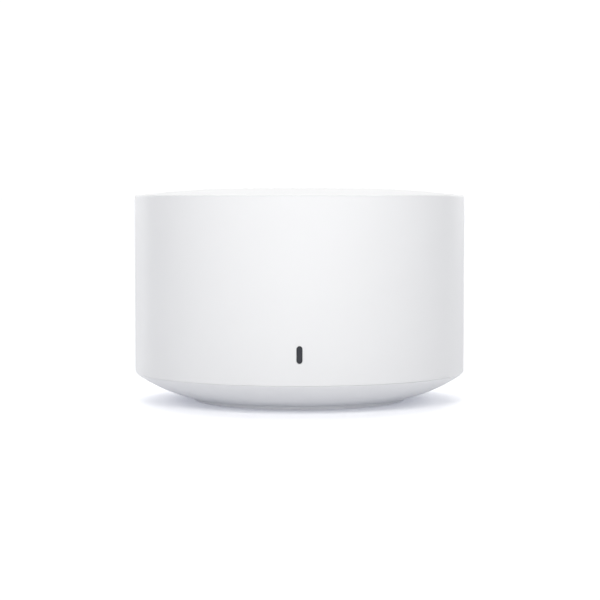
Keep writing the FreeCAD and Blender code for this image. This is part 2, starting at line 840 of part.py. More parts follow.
def shield(name, width, depth, x, y):
    """A five-sided sheet metal can standing on the board."""
    sheet_size = "shield_sheet"
    outer = block(name + "_outer", (width, depth, "shield_height"),
                  (f"{x} - {width} / 2", f"{y} - {depth} / 2", BOARD_TOP))
    hollow = (f"{width} - 2 * {sheet_size}", f"{depth} - 2 * {sheet_size}", "shield_height")
    inner = block(name + "_inner", hollow,
                  (f"{x} - {width} / 2 + {sheet_size}", f"{y} - {depth} / 2 + {sheet_size}",
                   f"{BOARD_TOP} - {sheet_size}"))
    node(name, cut(name + "_can", outer, inner))


def chip(name, width, depth, height, x, y):
    return block(name, (width, depth, height), (f"{x} - {width} / 2", f"{y} - {depth} / 2", BOARD_TOP))


def board_chips():
    for name, package in PACKAGES.items():
        node(name, chip(name + "_package", *package))
    radio = "radio_chip_width"
    node("radio_chips", group("radio_chip_pair", *[
        chip(f"radio_package_{i}", radio, radio, "low_chip_height", f"{side} * radio_x", "0")
        for i, side in enumerate((1, -1))]))
    node("magnetics", group("magnetics_pair", *[
        block(f"magnetics_{i}", ("magnetics_width", "magnetics_depth", "magnetics_height"),
              (f"{side} * jack_x - magnetics_width / 2", "magnetics_y", BOARD_TOP))
        for i, side in enumerate((1, -1))]))
    node("power_inductors", group("inductor_pair", *[
        chip(f"inductor_{i}", "inductor_width", "inductor_width", "inductor_height", x, y)
        for i, (x, y) in enumerate(INDUCTOR_PLACES)]))


def bulk_capacitors():
    cans = []
    for i, (x, y) in enumerate(CAPACITOR_PLACES):
        base = chip(f"capacitor_base_{i}", "capacitor_base_width", "capacitor_base_width",
                    "capacitor_base_height", x, y)
        can = rod(f"capacitor_can_{i}", "capacitor_radius", "capacitor_height",
                  (x, y, f"{BOARD_TOP} + capacitor_base_height"))
        cans.append(fuse(f"capacitor_{i}", base, can))
    node("bulk_capacitors", group("capacitor_pair", *cans))


def small_passives():
    """Rows of small chip capacitors and resistors round the shields."""
    places = [(x + PASSIVE_PITCH * i, y) for x, y, count in PASSIVE_ROWS for i in range(count)]
    node("small_passives", group("passive_rows", *[
        chip(f"passive_{i}", "passive_length", "passive_width", "passive_height", x, y)
        for i, (x, y) in enumerate(places)]))


def thermal_pads():
    over = f"{BOARD_TOP} + shield_height"
    inner_base = f"{BOARD_TOP} + chip_height"
    shield_lid = f"{BOARD_TOP} + shield_height - shield_sheet"
    outside = block("pad_over_shield", ("pad_width", "pad_depth", "pad_thick"),
                    ("-pad_width / 2", "cpu_y - pad_depth / 2", over))
    inside = block("pad_on_cpu", ("cpu_chip_width", "cpu_chip_width", f"{shield_lid} - ({inner_base})"),
                   ("cpu_chip_x - cpu_chip_width / 2", "cpu_y - cpu_chip_width / 2", inner_base))
    under = block("pad_under_board", ("pad_width", "pad_depth", "under_pad_thick"),
                  ("-pad_width / 2", "cpu_y - pad_depth / 2", "board_base - under_pad_thick"))
    node("thermal_pads", group("pad_set", outside, inside, under))


def heat_spreader():
    body = new_body("heat_spreader_body")
    plate = [("0", "0", "spreader_radius")]
    pad(body, sketch(body, "XY", "spreader_base", circles=plate), "spreader_thick")
    hole = [("spreader_vent_x", "spreader_vent_y", "spreader_vent_radius")]
    drawing = sketch(body, "XY", "spreader_base + spreader_thick + cut_past", circles=hole)
    around(body, pocket(body, drawing, "spreader_thick + 2 * cut_past"), "spreader_vent_count")
    node("heat_spreader", body)


SINK_BASE = f"({BOARD_TOP} + shield_height + pad_thick)"


def heat_sink():
    body = new_body("heat_sink_body")
    plate = rectangle("-sink_width / 2", "sink_width / 2", "sink_front", "sink_rear")
    pad(body, sketch(body, "XY", SINK_BASE, [plate]), "sink_base_thick")
    fin = rectangle("-sink_width / 2", "-sink_width / 2 + fin_thick", "sink_front", "sink_rear")
    drawing = sketch(body, "XY", f"{SINK_BASE} + sink_base_thick - join_overlap", [fin])
    first_fin = pad(body, drawing, "fin_height + join_overlap")
    along_x(body, first_fin, "fin_count", "fin_pitch")
    holes = [("-sink_screw_x", "sink_screw_front", "sink_screw_hole"),
             ("sink_screw_x", "sink_screw_rear", "sink_screw_hole")]
    drawing = sketch(body, "XY", f"{SINK_BASE} + sink_base_thick + cut_past", circles=holes)
    pocket(body, drawing, "sink_base_thick + 2 * cut_past")
    node("heat_sink", body)


def sink_screws():
    screws, nuts = [], []
    head_base = f"{SINK_BASE} + sink_base_thick"
    shank_base = "board_base - sink_nut_height - sink_screw_end"
    shank_length = f"{head_base} - ({shank_base})"
    for i, (x, y) in enumerate((("-sink_screw_x", "sink_screw_front"), ("sink_screw_x", "sink_screw_rear"))):
        shank = rod(f"sink_shank_{i}", "sink_screw_radius", shank_length, (x, y, shank_base))
        head = rod(f"sink_head_{i}", "sink_screw_head_radius", "sink_screw_head_height", (x, y, head_base))
        slot_cut = block(f"sink_slot_{i}", ("sink_screw_head_radius * 2", "sink_slot_width", "cut_past"),
                         (f"{x} - sink_screw_head_radius", f"{y} - sink_slot_width / 2",
                          f"{head_base} + sink_screw_head_height - sink_slot_depth"))
        screws.append(cut(f"sink_screw_{i}", fuse(f"sink_screw_solid_{i}", shank, head), slot_cut))
        collar = rod(f"nut_outer_{i}", "sink_nut_radius", "sink_nut_height",
                     (x, y, "board_base - sink_nut_height"))
        bore = rod(f"nut_bore_{i}", "sink_screw_radius + thread_gap", "sink_nut_height + 2 * cut_past",
                   (x, y, "board_base - sink_nut_height - cut_past"))
        nuts.append(cut(f"sink_nut_{i}", collar, bore))
    node("heat_sink_screws", group("sink_screw_pair", *screws))
    node("heat_sink_nuts", group("sink_nut_pair", *nuts))


# ---------------------------------------------------------------- network sockets and power inlet

def network_socket(name, x):
    """A shielded eight-way socket: sheet metal shell, moulded insert and eight sloping contact wires."""
    left, sheet_size = f"{x} - jack_width / 2", "jack_sheet"
    depth = "jack_face - jack_back"
    outer = block(name + "_outer", ("jack_width", depth, "jack_height"), (left, "jack_back", BOARD_TOP))
    inner = block(name + "_inner", (f"jack_width - 2 * {sheet_size}", depth, "jack_height"),
                  (f"{left} + {sheet_size}", f"jack_back + {sheet_size}", f"{BOARD_TOP} - {sheet_size}"))
    node(name + "_shell", cut(name + "_can", outer, inner))

    side = "jack_inset"
    size = (f"jack_width - 2 * {side}", f"{depth} - 2 * {side}", f"jack_height - {side}")
    insert = block(name + "_solid", size, (f"{left} + {side}", f"jack_back + {side}", BOARD_TOP))
    face, floor = f"jack_face - {side}", f"{BOARD_TOP} + plug_base"
    mouth = block(name + "_mouth", ("plug_width", "plug_depth + cut_past", "plug_height"),
                  (f"{x} - plug_width / 2", f"{face} - plug_depth", floor))
    latch = block(name + "_latch", ("latch_width", "plug_depth + cut_past", "latch_drop + cut_past"),
                  (f"{x} - latch_width / 2", f"{face} - plug_depth", f"{floor} - latch_drop"))
    key = block(name + "_key", ("latch_key_width", "plug_depth + cut_past", "latch_key_drop + cut_past"),
                (f"{x} - latch_key_width / 2", f"{face} - plug_depth", f"{floor} - latch_key_drop"))
    node(name + "_insert", cut(name + "_moulding", insert, mouth, latch, key))

    wires = []
    slope = value("contact_slope")
    below_ceiling = f"contact_ceiling_gap + contact_width + contact_length * sin({slope})"
    for i in range(CONTACT_COUNT):
        wire = doc.addObject("Part::Box", f"{name}_wire_{i}")
        wire.Placement = Placement(Vector(), Rotation(Vector(1, 0, 0), slope))
        bind(wire, Length="contact_width", Width="contact_length", Height="contact_width",
             x=f"{x} + {i - (CONTACT_COUNT - 1) / 2} * contact_pitch - contact_width / 2",
             y=f"{face} - contact_setback - contact_length",
             z=f"{floor} + plug_height - ({below_ceiling})")
        wires.append(wire)
    node(name + "_contacts", group(name + "_wires", *wires))


def power_inlet():
    axis = f"{BOARD_TOP} + inlet_height"
    box = block("inlet_box", ("inlet_width", "inlet_body_face - inlet_back", "inlet_body_height"),
                ("inlet_x - inlet_width / 2", "inlet_back", BOARD_TOP))
    nose = rod("inlet_nose", "inlet_nose_radius", "inlet_face - inlet_back",
               ("inlet_x", "inlet_back", axis), "y")
    bore = rod("inlet_bore", "inlet_bore_radius", "inlet_bore_depth + cut_past",
               ("inlet_x", "inlet_face - inlet_bore_depth", axis), "y")
    node("power_inlet_housing", cut("inlet_housing", fuse("inlet_solid", box, nose), bore))
    node("power_inlet_pin", rod("inlet_pin", "inlet_pin_radius", "inlet_bore_depth - inlet_pin_set_back",
                                ("inlet_x", "inlet_face - inlet_bore_depth", axis), "y"))
    leaf_base = f"{axis} - inlet_bore_radius + inlet_leaf_lift"
    leaf = block("inlet_leaf", ("inlet_leaf_width", "inlet_leaf_length", "inlet_leaf_thick"),
                 ("inlet_x - inlet_leaf_width / 2", "inlet_face - inlet_bore_depth", leaf_base))
    node("power_inlet_leaf", leaf)


# ---------------------------------------------------------------- pair button

def pair_button():
    body = new_body("pair_button_body")
    near = f"{DIAGONAL} * button_round"
    face = "(panel_face + button_proud)"
    profile = [
        ("0", "button_stem_back"),
        ("button_stem_radius", "button_stem_back"),
        ("button_stem_radius", "button_flange_back"),
        ("button_flange_radius", "button_flange_back"),
        ("button_flange_radius", "button_flange_face"),
        ("button_radius", "button_flange_face"),
        ("button_radius", f"{face} - button_round", f"button_radius - {near}", f"{face} - {near}"),
        ("button_radius - button_round", face),
        ("0", face),
    ]
    revolve(body, sketch(body, "XY", outlines=[profile]))
    bind(body, x="button_x", z="button_height")
    node("pair_button", body)


def pair_switch():
    left = "button_x - switch_width / 2"
    box = block("switch_box", ("switch_width", "switch_face - switch_back", "switch_tall"),
                (left, "switch_back", BOARD_TOP))
    bore = rod("switch_bore", "switch_bore_radius", "switch_face - switch_bore_back + cut_past",
               ("button_x", "switch_bore_back", "button_height"), "y")
    node("pair_switch_body", cut("switch_moulding", box, bore))
    node("pair_switch_plunger", rod("switch_plunger", "plunger_radius",
                                    "button_stem_back - plunger_gap - plunger_back",
                                    ("button_x", "plunger_back", "button_height"), "y"))
    sheet_size = "bracket_sheet"
    face = block("bracket_face", (f"switch_width + 2 * {sheet_size}", sheet_size, "switch_tall"),
                 (f"{left} - {sheet_size}", "switch_face", BOARD_TOP))
    side = (sheet_size, f"switch_face - switch_back + {sheet_size}", "switch_tall")
    sides = [block(f"bracket_side_{i}", side, (place, "switch_back", BOARD_TOP))
             for i, place in enumerate((f"{left} - {sheet_size}", f"{left} + switch_width"))]
    hole = rod("bracket_hole", "bracket_hole_radius", f"{sheet_size} + 2 * cut_past",
               ("button_x", "switch_face - cut_past", "button_height"), "y")
    node("pair_switch_bracket", cut("bracket_cut", fuse("bracket_solid", face, *sides), hole))


# ---------------------------------------------------------------- antennas

PLATE_TOP = "(carrier_plate_base + carrier_plate_thick)"


def antenna_carrier():
    body = new_body("antenna_carrier_body")
    rings = [("0", "0", "carrier_radius"), ("0", "0", "carrier_hole_radius")]
    pad(body, sketch(body, "XY", "carrier_plate_base", circles=rings), "carrier_plate_thick")
    rib = [("0", "0", "carrier_rib_outer"), ("0", "0", "carrier_rib_inner")]
    drawing = sketch(body, "XY", "carrier_plate_base - carrier_rib_drop", circles=rib)
    pad(body, drawing, "carrier_rib_drop + join_overlap")
    pad(body, sketch(body, "XY", BOARD_TOP, circles=at_columns("leg_radius")),
        f"carrier_plate_base + join_overlap - {BOARD_TOP}")
    beside = [(f"{sx} * cable_offset", f"{sy} * cable_offset", "clip_radius") for sx, sy in CORNERS]
    for height in ("clip_low", "clip_high"):
        pad(body, sketch(body, "XY", height, circles=beside), "clip_height")
    stand = rectangle("-stand_half_width", "stand_half_width", "stand_back", "stand_face")
    drawing = sketch(body, "XY", f"{PLATE_TOP} - join_overlap", [stand])
    around(body, pad(body, drawing, "stand_height + join_overlap"), "side_count")
    pilots = sketch(body, "XY", BOARD_TOP, circles=at_columns("leg_pilot_radius"))
    pocket(body, pilots, "leg_pilot_depth", backwards=True)
    runs = [(f"{sx} * cable_offset", f"{sy} * cable_offset", "clip_hole_radius") for sx, sy in CORNERS]
    run_length = f"carrier_plate_base - carrier_rib_drop - {BOARD_TOP}"
    pocket(body, sketch(body, "XY", BOARD_TOP, circles=runs), run_length, backwards=True)
    window = sketch(body, "XY", "carrier_plate_base - carrier_rib_drop - cut_past",
                    circles=[("carrier_window_x", "carrier_window_y", "carrier_window_radius")])
    depth = "carrier_plate_thick + carrier_rib_drop + 2 * cut_past"
    around(body, pocket(body, window, depth, backwards=True), "side_count")
    notch = rectangle("stand_notch_left", "stand_half_width + cut_past",
                      "stand_notch_low", "stand_notch_high")
    drawing = sketch(body, "XZ", "-(stand_back - cut_past)", [notch])
    around(body, pocket(body, drawing, "stand_face - stand_back + 2 * cut_past"), "side_count")
    node("antenna_carrier", body)


def antennas():
    """Four folded sheet metal antennas, one on each stand of the carrier."""
    turns = {"antenna_rear": 0, "antenna_left": 90, "antenna_front": 180, "antenna_right": 270}
    for name, turn in turns.items():
        body = new_body(name + "_body")
        half = "antenna_half_width"
        outline = [
            (f"-{half}", "antenna_bar_base"),
            ("antenna_feed_left", "antenna_bar_base"),
            ("antenna_feed_left", "antenna_leg_base"),
            ("antenna_feed_right", "antenna_leg_base"),
            ("antenna_feed_right", "antenna_bar_base"),
            (f"{half} - antenna_short_width", "antenna_bar_base"),
            (f"{half} - antenna_short_width", PLATE_TOP),
            (half, PLATE_TOP),
            (half, "antenna_top"),
            (f"-{half}", "antenna_top"),
        ]
        pad(body, sketch(body, "XZ", "-stand_face", [outline]), "antenna_sheet", backwards=True)
        lip = rectangle(f"-{half}", half, "stand_face", "stand_face + antenna_sheet + antenna_lip")
        pad(body, sketch(body, "XY", "antenna_top - antenna_sheet", [lip]), "antenna_sheet")
        body.Placement = Placement(Vector(), Rotation(Vector(0, 0, 1), turn))
        node(name, body)


def tube_path(points):
    """Straight runs joined by tangent arcs, each arc as large as its two runs allow."""
    edges, radii, start = [], [], points[0]
    for before, corner, after in zip(points, points[1:], points[2:]):
        inward, outward = (before - corner), (after - corner)
        turn = math.pi - inward.getAngle(outward)
        reach = BEND_SHARE * min(inward.Length, outward.Length)
        radii.append(reach / math.tan(turn / 2))
        first = corner + inward.normalize() * reach
        last = corner + outward.normalize() * reach
        bisector = (inward + outward).normalize()
        middle = corner + bisector * (radii[-1] / math.cos(turn / 2) - radii[-1])
        edges.append(Part.LineSegment(start, first).toShape())
        edges.append(Part.Arc(first, middle, last).toShape())
        start = last
    edges.append(Part.LineSegment(start, points[-1]).toShape())
    return Part.Wire(edges), radii


def antenna_cables():
    """Each lead runs from its board socket up beside a carrier leg and across to an antenna's feed."""
    radius, top = value("cable_radius"), value("cable_top")
    offset, start_height = value("cable_offset"), value("cable_start_height")
    feed = Vector(value("cable_end_x"), value("cable_end_y"), top)
    feed_turns = {(1, 1): 0, (-1, 1): 90, (-1, -1): 180, (1, -1): 270}
    tubes = []
    for sx, sy in CORNERS:
        end = Rotation(Vector(0, 0, 1), feed_turns[(sx, sy)]).multVec(feed)
        points = [
            Vector(sx * value("cable_start_x"), sy * value("cable_start_y"), start_height),
            Vector(sx * offset, sy * offset, start_height),
            Vector(sx * offset, sy * offset, top),
            end,
        ]
        path, radii = tube_path(points)
        section = Part.Wire(Part.Circle(points[0], points[1] - points[0], radius).toShape())
        tube = path.makePipeShell([section], True, False)
        expected = math.pi * radius**2 * path.Length
        print(f"cable length {path.Length:.1f}, radii {[round(r, 1) for r in radii]}, "
              f"volume {tube.Volume:.1f} of {expected:.1f}")
        tubes.append(tube)
    item = doc.addObject("Part::Feature", "antenna_cable_set")
    item.Shape = Part.Compound(tubes)
    node("antenna_cables", item)


def cable_plugs():
    plugs, sockets = [], []
    reach = "(plug_radius + plug_lead_gap)"
    run_x, run_y = "(cable_start_x - cable_offset)", "(cable_offset - cable_start_y)"
    run = f"sqrt({run_x}^2 + {run_y}^2)"
    for i, (sx, sy) in enumerate(CORNERS):
        x = f"{sx} * (cable_start_x + {reach} * {run_x} / {run})"
        y = f"{sy} * (cable_start_y - {reach} * {run_y} / {run})"
        plugs.append(rod(f"plug_{i}", "plug_radius", "plug_tall", (x, y, "plug_base_height")))
        base = block(f"socket_base_{i}", ("socket_width", "socket_width", "socket_base_height"),
                     (f"{x} - socket_width / 2", f"{y} - socket_width / 2", BOARD_TOP))
        stub = rod(f"socket_stub_{i}", "socket_radius", "socket_tall + socket_root",
                   (x, y, f"{BOARD_TOP} + socket_base_height - socket_root"))
        sockets.append(fuse(f"socket_{i}", base, stub))
    node("cable_plugs", group("plug_set", *plugs))
    node("cable_sockets", group("socket_set", *sockets))


# ---------------------------------------------------------------- fasteners

def cross_head_screw(name, x, y, head_base, head_up, shank_radius, length, head_radius, head_height):
    """A pan head screw with a cross recess. head_up is False where the shank points up, out of its head."""
    shank_start = f"{head_base} - ({length})" if head_up else f"{head_base} + {head_height}"
    outer_face = f"{head_base} + {head_height}" if head_up else head_base
    shank = rod(name + "_shank", shank_radius, length, (x, y, shank_start))
    head = rod(name + "_head", head_radius, head_height, (x, y, head_base))
    recess_base = f"{outer_face} - screw_cross_depth" if head_up else f"{outer_face} - cut_past"
    long, short, tall = "screw_cross_length", "screw_cross_width", "screw_cross_depth + cut_past"
    bars = [block(f"{name}_bar_{i}", (size[0], size[1], tall),
                  (f"{x} - {size[0]} / 2", f"{y} - {size[1]} / 2", recess_base))
            for i, size in enumerate(((long, short), (short, long)))]
    return cut(name, fuse(name + "_solid", shank, head), fuse(name + "_recess", *bars))


def housing_screws():
    base = "counterbore_top - screw_head_height"
    node("housing_screws", group("housing_screw_set", *[
        cross_head_screw(f"housing_screw_{i}", f"{sx} * column_offset", f"{sy} * column_offset", base, False,
                         "screw_radius", "screw_length", "screw_head_radius", "screw_head_height")
        for i, (sx, sy) in enumerate(CORNERS)]))


def board_screws():
    length = "board_thick + post_hole_depth - post_screw_end_gap"
    node("board_screws", group("board_screw_set", *[
        cross_head_screw(f"board_screw_{i}", f"{side} * post_x", "-post_y", BOARD_TOP, True,
                         "post_hole_radius - thread_gap", length, "post_screw_head_radius",
                         "post_screw_head_height")
        for i, side in enumerate((1, -1))]))


# ---------------------------------------------------------------- build, check and write

def build():
    fill_sheet()
    outer_sleeve()
    top_cover()
    base_shell()
    foot_ring()
    rating_label()
    port_bezel()
    led_window()
    light_guide()
    light_seal()
    led_emitter()
    main_board()
    shield("cpu_shield", "cpu_shield_width", "cpu_shield_depth", "0", "cpu_y")
    shield("radio_shield_right", "radio_shield_width", "radio_shield_depth", "radio_x", "0")
    shield("radio_shield_left", "radio_shield_width", "radio_shield_depth", "(-radio_x)", "0")
    board_chips()
    bulk_capacitors()
    small_passives()
    thermal_pads()
    heat_spreader()
    heat_sink()
    sink_screws()
    network_socket("wan_socket", "jack_x")
    network_socket("lan_socket", "(-jack_x)")
    power_inlet()
    pair_button()
    pair_switch()
    antenna_carrier()
    antennas()
    antenna_cables()
    cable_plugs()
    housing_screws()
    board_screws()
    doc.recompute()


def check():
    for item in doc.Objects:
        if "Invalid" in item.State or "Error" in item.State:
            raise ValueError(f"{item.Name} failed: {item.State}")
    for item in nodes:
        if item.Shape.isNull() or not item.Shape.isValid() or not item.Shape.Solids:
            raise ValueError(f"{item.Label} has no valid solid")


def write():
    os.makedirs("parts", exist_ok=True)
    for item in nodes:
        item.Shape.exportStep(os.path.join("parts", item.Label + ".step"))
    print(f"{len(nodes)} sub-parts written")


build()
check()
write()
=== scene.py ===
import json
import math

import bmesh
import bpy
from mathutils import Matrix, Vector
from mathutils.geometry import delaunay_2d_cdt

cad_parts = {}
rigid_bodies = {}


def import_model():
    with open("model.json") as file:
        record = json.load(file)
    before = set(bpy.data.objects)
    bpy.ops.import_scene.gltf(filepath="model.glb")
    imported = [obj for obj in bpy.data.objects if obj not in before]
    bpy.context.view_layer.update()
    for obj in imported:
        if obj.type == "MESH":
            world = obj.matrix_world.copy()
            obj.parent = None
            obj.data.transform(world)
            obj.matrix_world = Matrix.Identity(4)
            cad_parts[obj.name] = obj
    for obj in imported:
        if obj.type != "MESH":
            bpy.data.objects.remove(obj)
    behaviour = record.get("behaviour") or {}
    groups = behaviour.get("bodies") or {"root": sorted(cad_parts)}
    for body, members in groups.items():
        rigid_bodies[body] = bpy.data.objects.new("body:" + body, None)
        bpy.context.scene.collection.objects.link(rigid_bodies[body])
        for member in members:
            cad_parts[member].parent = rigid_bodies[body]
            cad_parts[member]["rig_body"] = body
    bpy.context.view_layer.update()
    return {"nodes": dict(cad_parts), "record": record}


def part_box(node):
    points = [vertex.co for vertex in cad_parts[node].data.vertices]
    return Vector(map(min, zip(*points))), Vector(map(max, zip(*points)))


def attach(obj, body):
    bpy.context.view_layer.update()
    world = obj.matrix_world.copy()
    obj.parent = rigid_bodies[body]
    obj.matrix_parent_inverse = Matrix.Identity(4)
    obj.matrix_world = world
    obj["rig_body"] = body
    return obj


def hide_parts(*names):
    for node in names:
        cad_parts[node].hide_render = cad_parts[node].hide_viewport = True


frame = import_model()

# ------------------------------------------------------------------ sizes, in metres

MM = 0.001
AROUND = 256                 # flats round a full turn of the housing
MERGE = 1e-7                 # points closer than this are one point
SUPPORT = 0.15 * MM          # narrow flat band beside every rounded edge
CREASE = math.radians(38)    # corners sharper than this stay crisp

sleeve_low, sleeve_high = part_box("outer_sleeve")
lens_low, lens_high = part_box("led_window")
cover_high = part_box("top_cover")[1]
foot_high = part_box("foot_ring")[1]
bezel_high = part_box("port_bezel")[1]
shell_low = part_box("base_shell")[0]
board_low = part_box("main_board")[0]

BODY_RADIUS = sleeve_high.x
SEAM = sleeve_low.z
RIM = sleeve_high.z
TOP = cover_high.z
WALL = 2.2 * MM
SLEEVE_INNER = BODY_RADIUS - WALL
WALL_ROWS = 12               # bands of faces up the wall
WALL_MARGIN = 0.35 * MM      # no inner points closer than this to an opening in the wall

RIM_ROUND = 0.6 * MM
SEAT_ROUND = 0.4 * MM
SEAM_ROUND = 0.2 * MM
SEAT_RADIUS = 51.45 * MM
LEDGE_RADIUS = 48.6 * MM
LEDGE_TOP = 63.9 * MM
LEDGE_UNDER = 62.6 * MM
LEDGE_ROOT = 60.8 * MM

COVER_RADIUS = cover_high.x
COVER_THICK = 2.0 * MM
COVER_FLAT = 17 * MM
COVER_EDGE = 51.05 * MM
COVER_ROUND = 0.3 * MM
COVER_ROUND_START = 83       # degrees, where the dome's slope runs into the rounded edge
COVER_STEPS = 24
COVER_MIDDLE_RINGS = (0, 6 * MM, 12 * MM)
COVER_UNDER_RINGS = (40 * MM, 30 * MM, COVER_FLAT, 8 * MM, 0)
DOME_RADIUS = 280 * MM

FLOOR_BASE = shell_low.z
FLOOR_MARGIN = 0.4 * MM      # no inner points closer than this to an opening in the floor
FLOOR_SPACING = 2.5 * MM
BELLY_RADIUS = 35.6 * MM
FLAT_EDGE = BELLY_RADIUS - 0.5 * MM
BELLY_EASE = (0.2 * MM, 0.01 * MM)    # the flat floor lifts by this just before the belly starts
BELLY_VIA = (43.55 * MM, 3.85 * MM)
SHOULDER = (51.07 * MM, 7.78 * MM)
SHOULDER_VIA = (52.09 * MM, 8.5 * MM)
BASE_LIP = 0.2 * MM
LIP_EASE = 0.06 * MM
SPIGOT_RADIUS = 50.65 * MM
SPIGOT_INNER = 49.05 * MM
SPIGOT_TOP = 12.5 * MM
SPIGOT_GAP_HALF = 28.6 * MM
INNER_TURN = 9.3 * MM
INNER_FLOOR = 3.4 * MM
INNER_FLOOR_RADIUS = 34.9 * MM
INNER_VIA = (42.76 * MM, 6.08 * MM)
LABEL_RECESS_RADIUS = 11.5 * MM
LABEL_RECESS_DEPTH = 0.35 * MM
LABEL_RECESS_SPACING = 3 * MM
VENT_NEAR, VENT_FAR = 13.5 * MM, 20.3 * MM
VENT_HALF_WIDTH = 0.85 * MM
VENT_COUNT = 20
VENT_ROUND = 0.25 * MM
COLUMN = 20.86 * MM
BOSS_RADIUS = 4.2 * MM
COUNTERBORE_RADIUS, COUNTERBORE_TOP = 2.8 * MM, 5.0 * MM
SCREW_HOLE_RADIUS = 1.45 * MM
POST_X, POST_Y, POST_RADIUS, POST_HOLE = 38.97 * MM, -18.17 * MM, 2.2 * MM, 0.9 * MM
POST_BASE, POST_HOLE_END = 5.5 * MM, 7 * MM
STAND_DISTANCE, STAND_RADIUS, STAND_TOP = 22.9 * MM, 1.6 * MM, 8.5 * MM

FOOT_INNER = 22.5 * MM
FOOT_ROUND = 0.6 * MM

BEZEL_WALL = 1.5 * MM
BAY_HALF = bezel_high.x - BEZEL_WALL
BAY_LOW, BAY_HIGH = 12.5 * MM, bezel_high.z - BEZEL_WALL
BAY_CORNER = 2.2 * MM
BAY_CUTS = 47                # points along its long sides
BAY_ROUND = 0.45 * MM
PANEL_FACE = 42 * MM

SIGN_HEIGHT = 27.4 * MM      # the row of signs above the ports
BUTTON_SIGN_GAP = 4.4 * MM   # from the button's centre up to its sign

LIGHT_HEIGHT = (lens_low.z + lens_high.z) / 2
SLOT_HALF_WIDTH, SLOT_HALF_LENGTH = 0.9 * MM, 2.65 * MM
SLOT_ROUND = 0.12 * MM
LENS_GAP = 0.05 * MM
LENS_FLANGE, LENS_FLANGE_DEPTH = 1.1 * MM, 0.8 * MM
LENS_ROUND = 0.15 * MM


# ------------------------------------------------------------------ mesh helpers

def arc(centre_x, centre_y, radius, start, end, steps):
    """Points on a circle from one angle to another, in degrees."""
    angles = (math.radians(start + (end - start) * i / steps) for i in range(steps + 1))
    return [(centre_x + radius * math.cos(a), centre_y + radius * math.sin(a)) for a in angles]


def arc_through(start, via, end, steps):
    """Points on the circle that passes through three points."""
    (ax, ay), (bx, by), (cx, cy) = start, via, end
    d = 2 * (ax * (by - cy) + bx * (cy - ay) + cx * (ay - by))
    a2, b2, c2 = ax * ax + ay * ay, bx * bx + by * by, cx * cx + cy * cy
    ox = (a2 * (by - cy) + b2 * (cy - ay) + c2 * (ay - by)) / d
    oy = (a2 * (cx - bx) + b2 * (ax - cx) + c2 * (bx - ax)) / d
    radius = math.hypot(ax - ox, ay - oy)
    first = math.degrees(math.atan2(ay - oy, ax - ox))
    last = math.degrees(math.atan2(cy - oy, cx - ox))
    return arc(ox, oy, radius, first, last, steps)


def join_rings(shape, first, second):
    """Faces between two rings of points. A ring of one point makes a fan."""
    count = max(len(first), len(second))
    for i in range(count):
        j = (i + 1) % count
        corners = [first[i % len(first)], first[j % len(first)],
                   second[j % len(second)], second[i % len(second)]]
        corners = [v for k, v in enumerate(corners) if v not in corners[:k]]
        if len(corners) > 2:
            shape.faces.new(corners)


def skin(shape, rings, ends=False):
    """Faces from each ring of points to the next, with flat ends if they are wanted."""
    for first, second in zip(rings, rings[1:]):
        join_rings(shape, first, second)
    if ends:
        shape.faces.new(rings[0])
        shape.faces.new(rings[-1])


def turned(shape, outline, steps=AROUND, centre=(0, 0)):
    """Turns an outline of (radius, height) points round an upright axis."""
    rings = []
    for radius, height in outline:
        count = steps if radius > MERGE else 1
        turns = (2 * math.pi * i / steps for i in range(count))
        rings.append([shape.verts.new((centre[0] + radius * math.cos(t),
                                       centre[1] + radius * math.sin(t), height)) for t in turns])
    skin(shape, rings)


class Opening:
    """A hole with round corners in a flat or curved sheet. Its outline can grow by any offset.

    Cuts are points along its long sides, so that a wide hole follows a curved sheet.
    """

    def __init__(self, x, y, half_width, half_height, corner, turn=0.0, steps=8, cuts=0):
        self.x, self.y, self.turn, self.steps, self.cuts = x, y, turn, steps, cuts
        self.half_width, self.half_height, self.corner = half_width, half_height, corner

    def outline(self, offset=0.0):
        wide, tall = self.half_width - self.corner, self.half_height - self.corner
        points = []
        for quarter, (sx, sy) in enumerate(((1, 1), (-1, 1), (-1, -1), (1, -1))):
            start = 90 * quarter
            points += arc(sx * wide, sy * tall, self.corner + offset, start, start + 90, self.steps)
            if sx == sy:
                edge = sy * (tall + self.corner + offset)
                points += [(sx * wide * (1 - 2 * i / (self.cuts + 1)), edge) for i in range(1, self.cuts + 1)]
        kept = [p for i, p in enumerate(points) if math.dist(p, points[i - 1]) > MERGE]
        c, s = math.cos(self.turn), math.sin(self.turn)
        return [(self.x + c * px - s * py, self.y + s * px + c * py) for px, py in kept]

    def holds(self, x, y, margin=0.0):
        dx, dy = x - self.x, y - self.y
        c, s = math.cos(self.turn), math.sin(self.turn)
        across = abs(c * dx + s * dy) - (self.half_width - self.corner)
        along = abs(c * dy - s * dx) - (self.half_height - self.corner)
        outside = math.hypot(max(across, 0), max(along, 0)) + min(max(across, along), 0)
        return outside - self.corner < margin


def pierced(shape, loops, fill, hidden, place):
    """A sheet with holes: triangles inside the first loop of flat points, but not where hidden says."""
    points, edges = [], []
    for loop in loops:
        start = len(points)
        points += loop
        edges += [(start + i, start + (i + 1) % len(loop)) for i in range(len(loop))]
    points += fill
    flat, _, triangles = delaunay_2d_cdt([Vector(p) for p in points], edges, [], 0, 1e-9, False)[:3]
    corners = [shape.verts.new(place(p.x, p.y)) for p in flat]
    for triangle in triangles:
        middle = sum((flat[i] for i in triangle), Vector((0, 0))) / 3
        if not hidden(middle.x, middle.y):
            shape.faces.new([corners[i] for i in triangle])


def opening_wall(shape, rings, place):
    """The rounded edge and side of an opening, from rings of (x, y, depth) points."""
    skin(shape, [[shape.verts.new(place(*point)) for point in ring] for ring in rings])


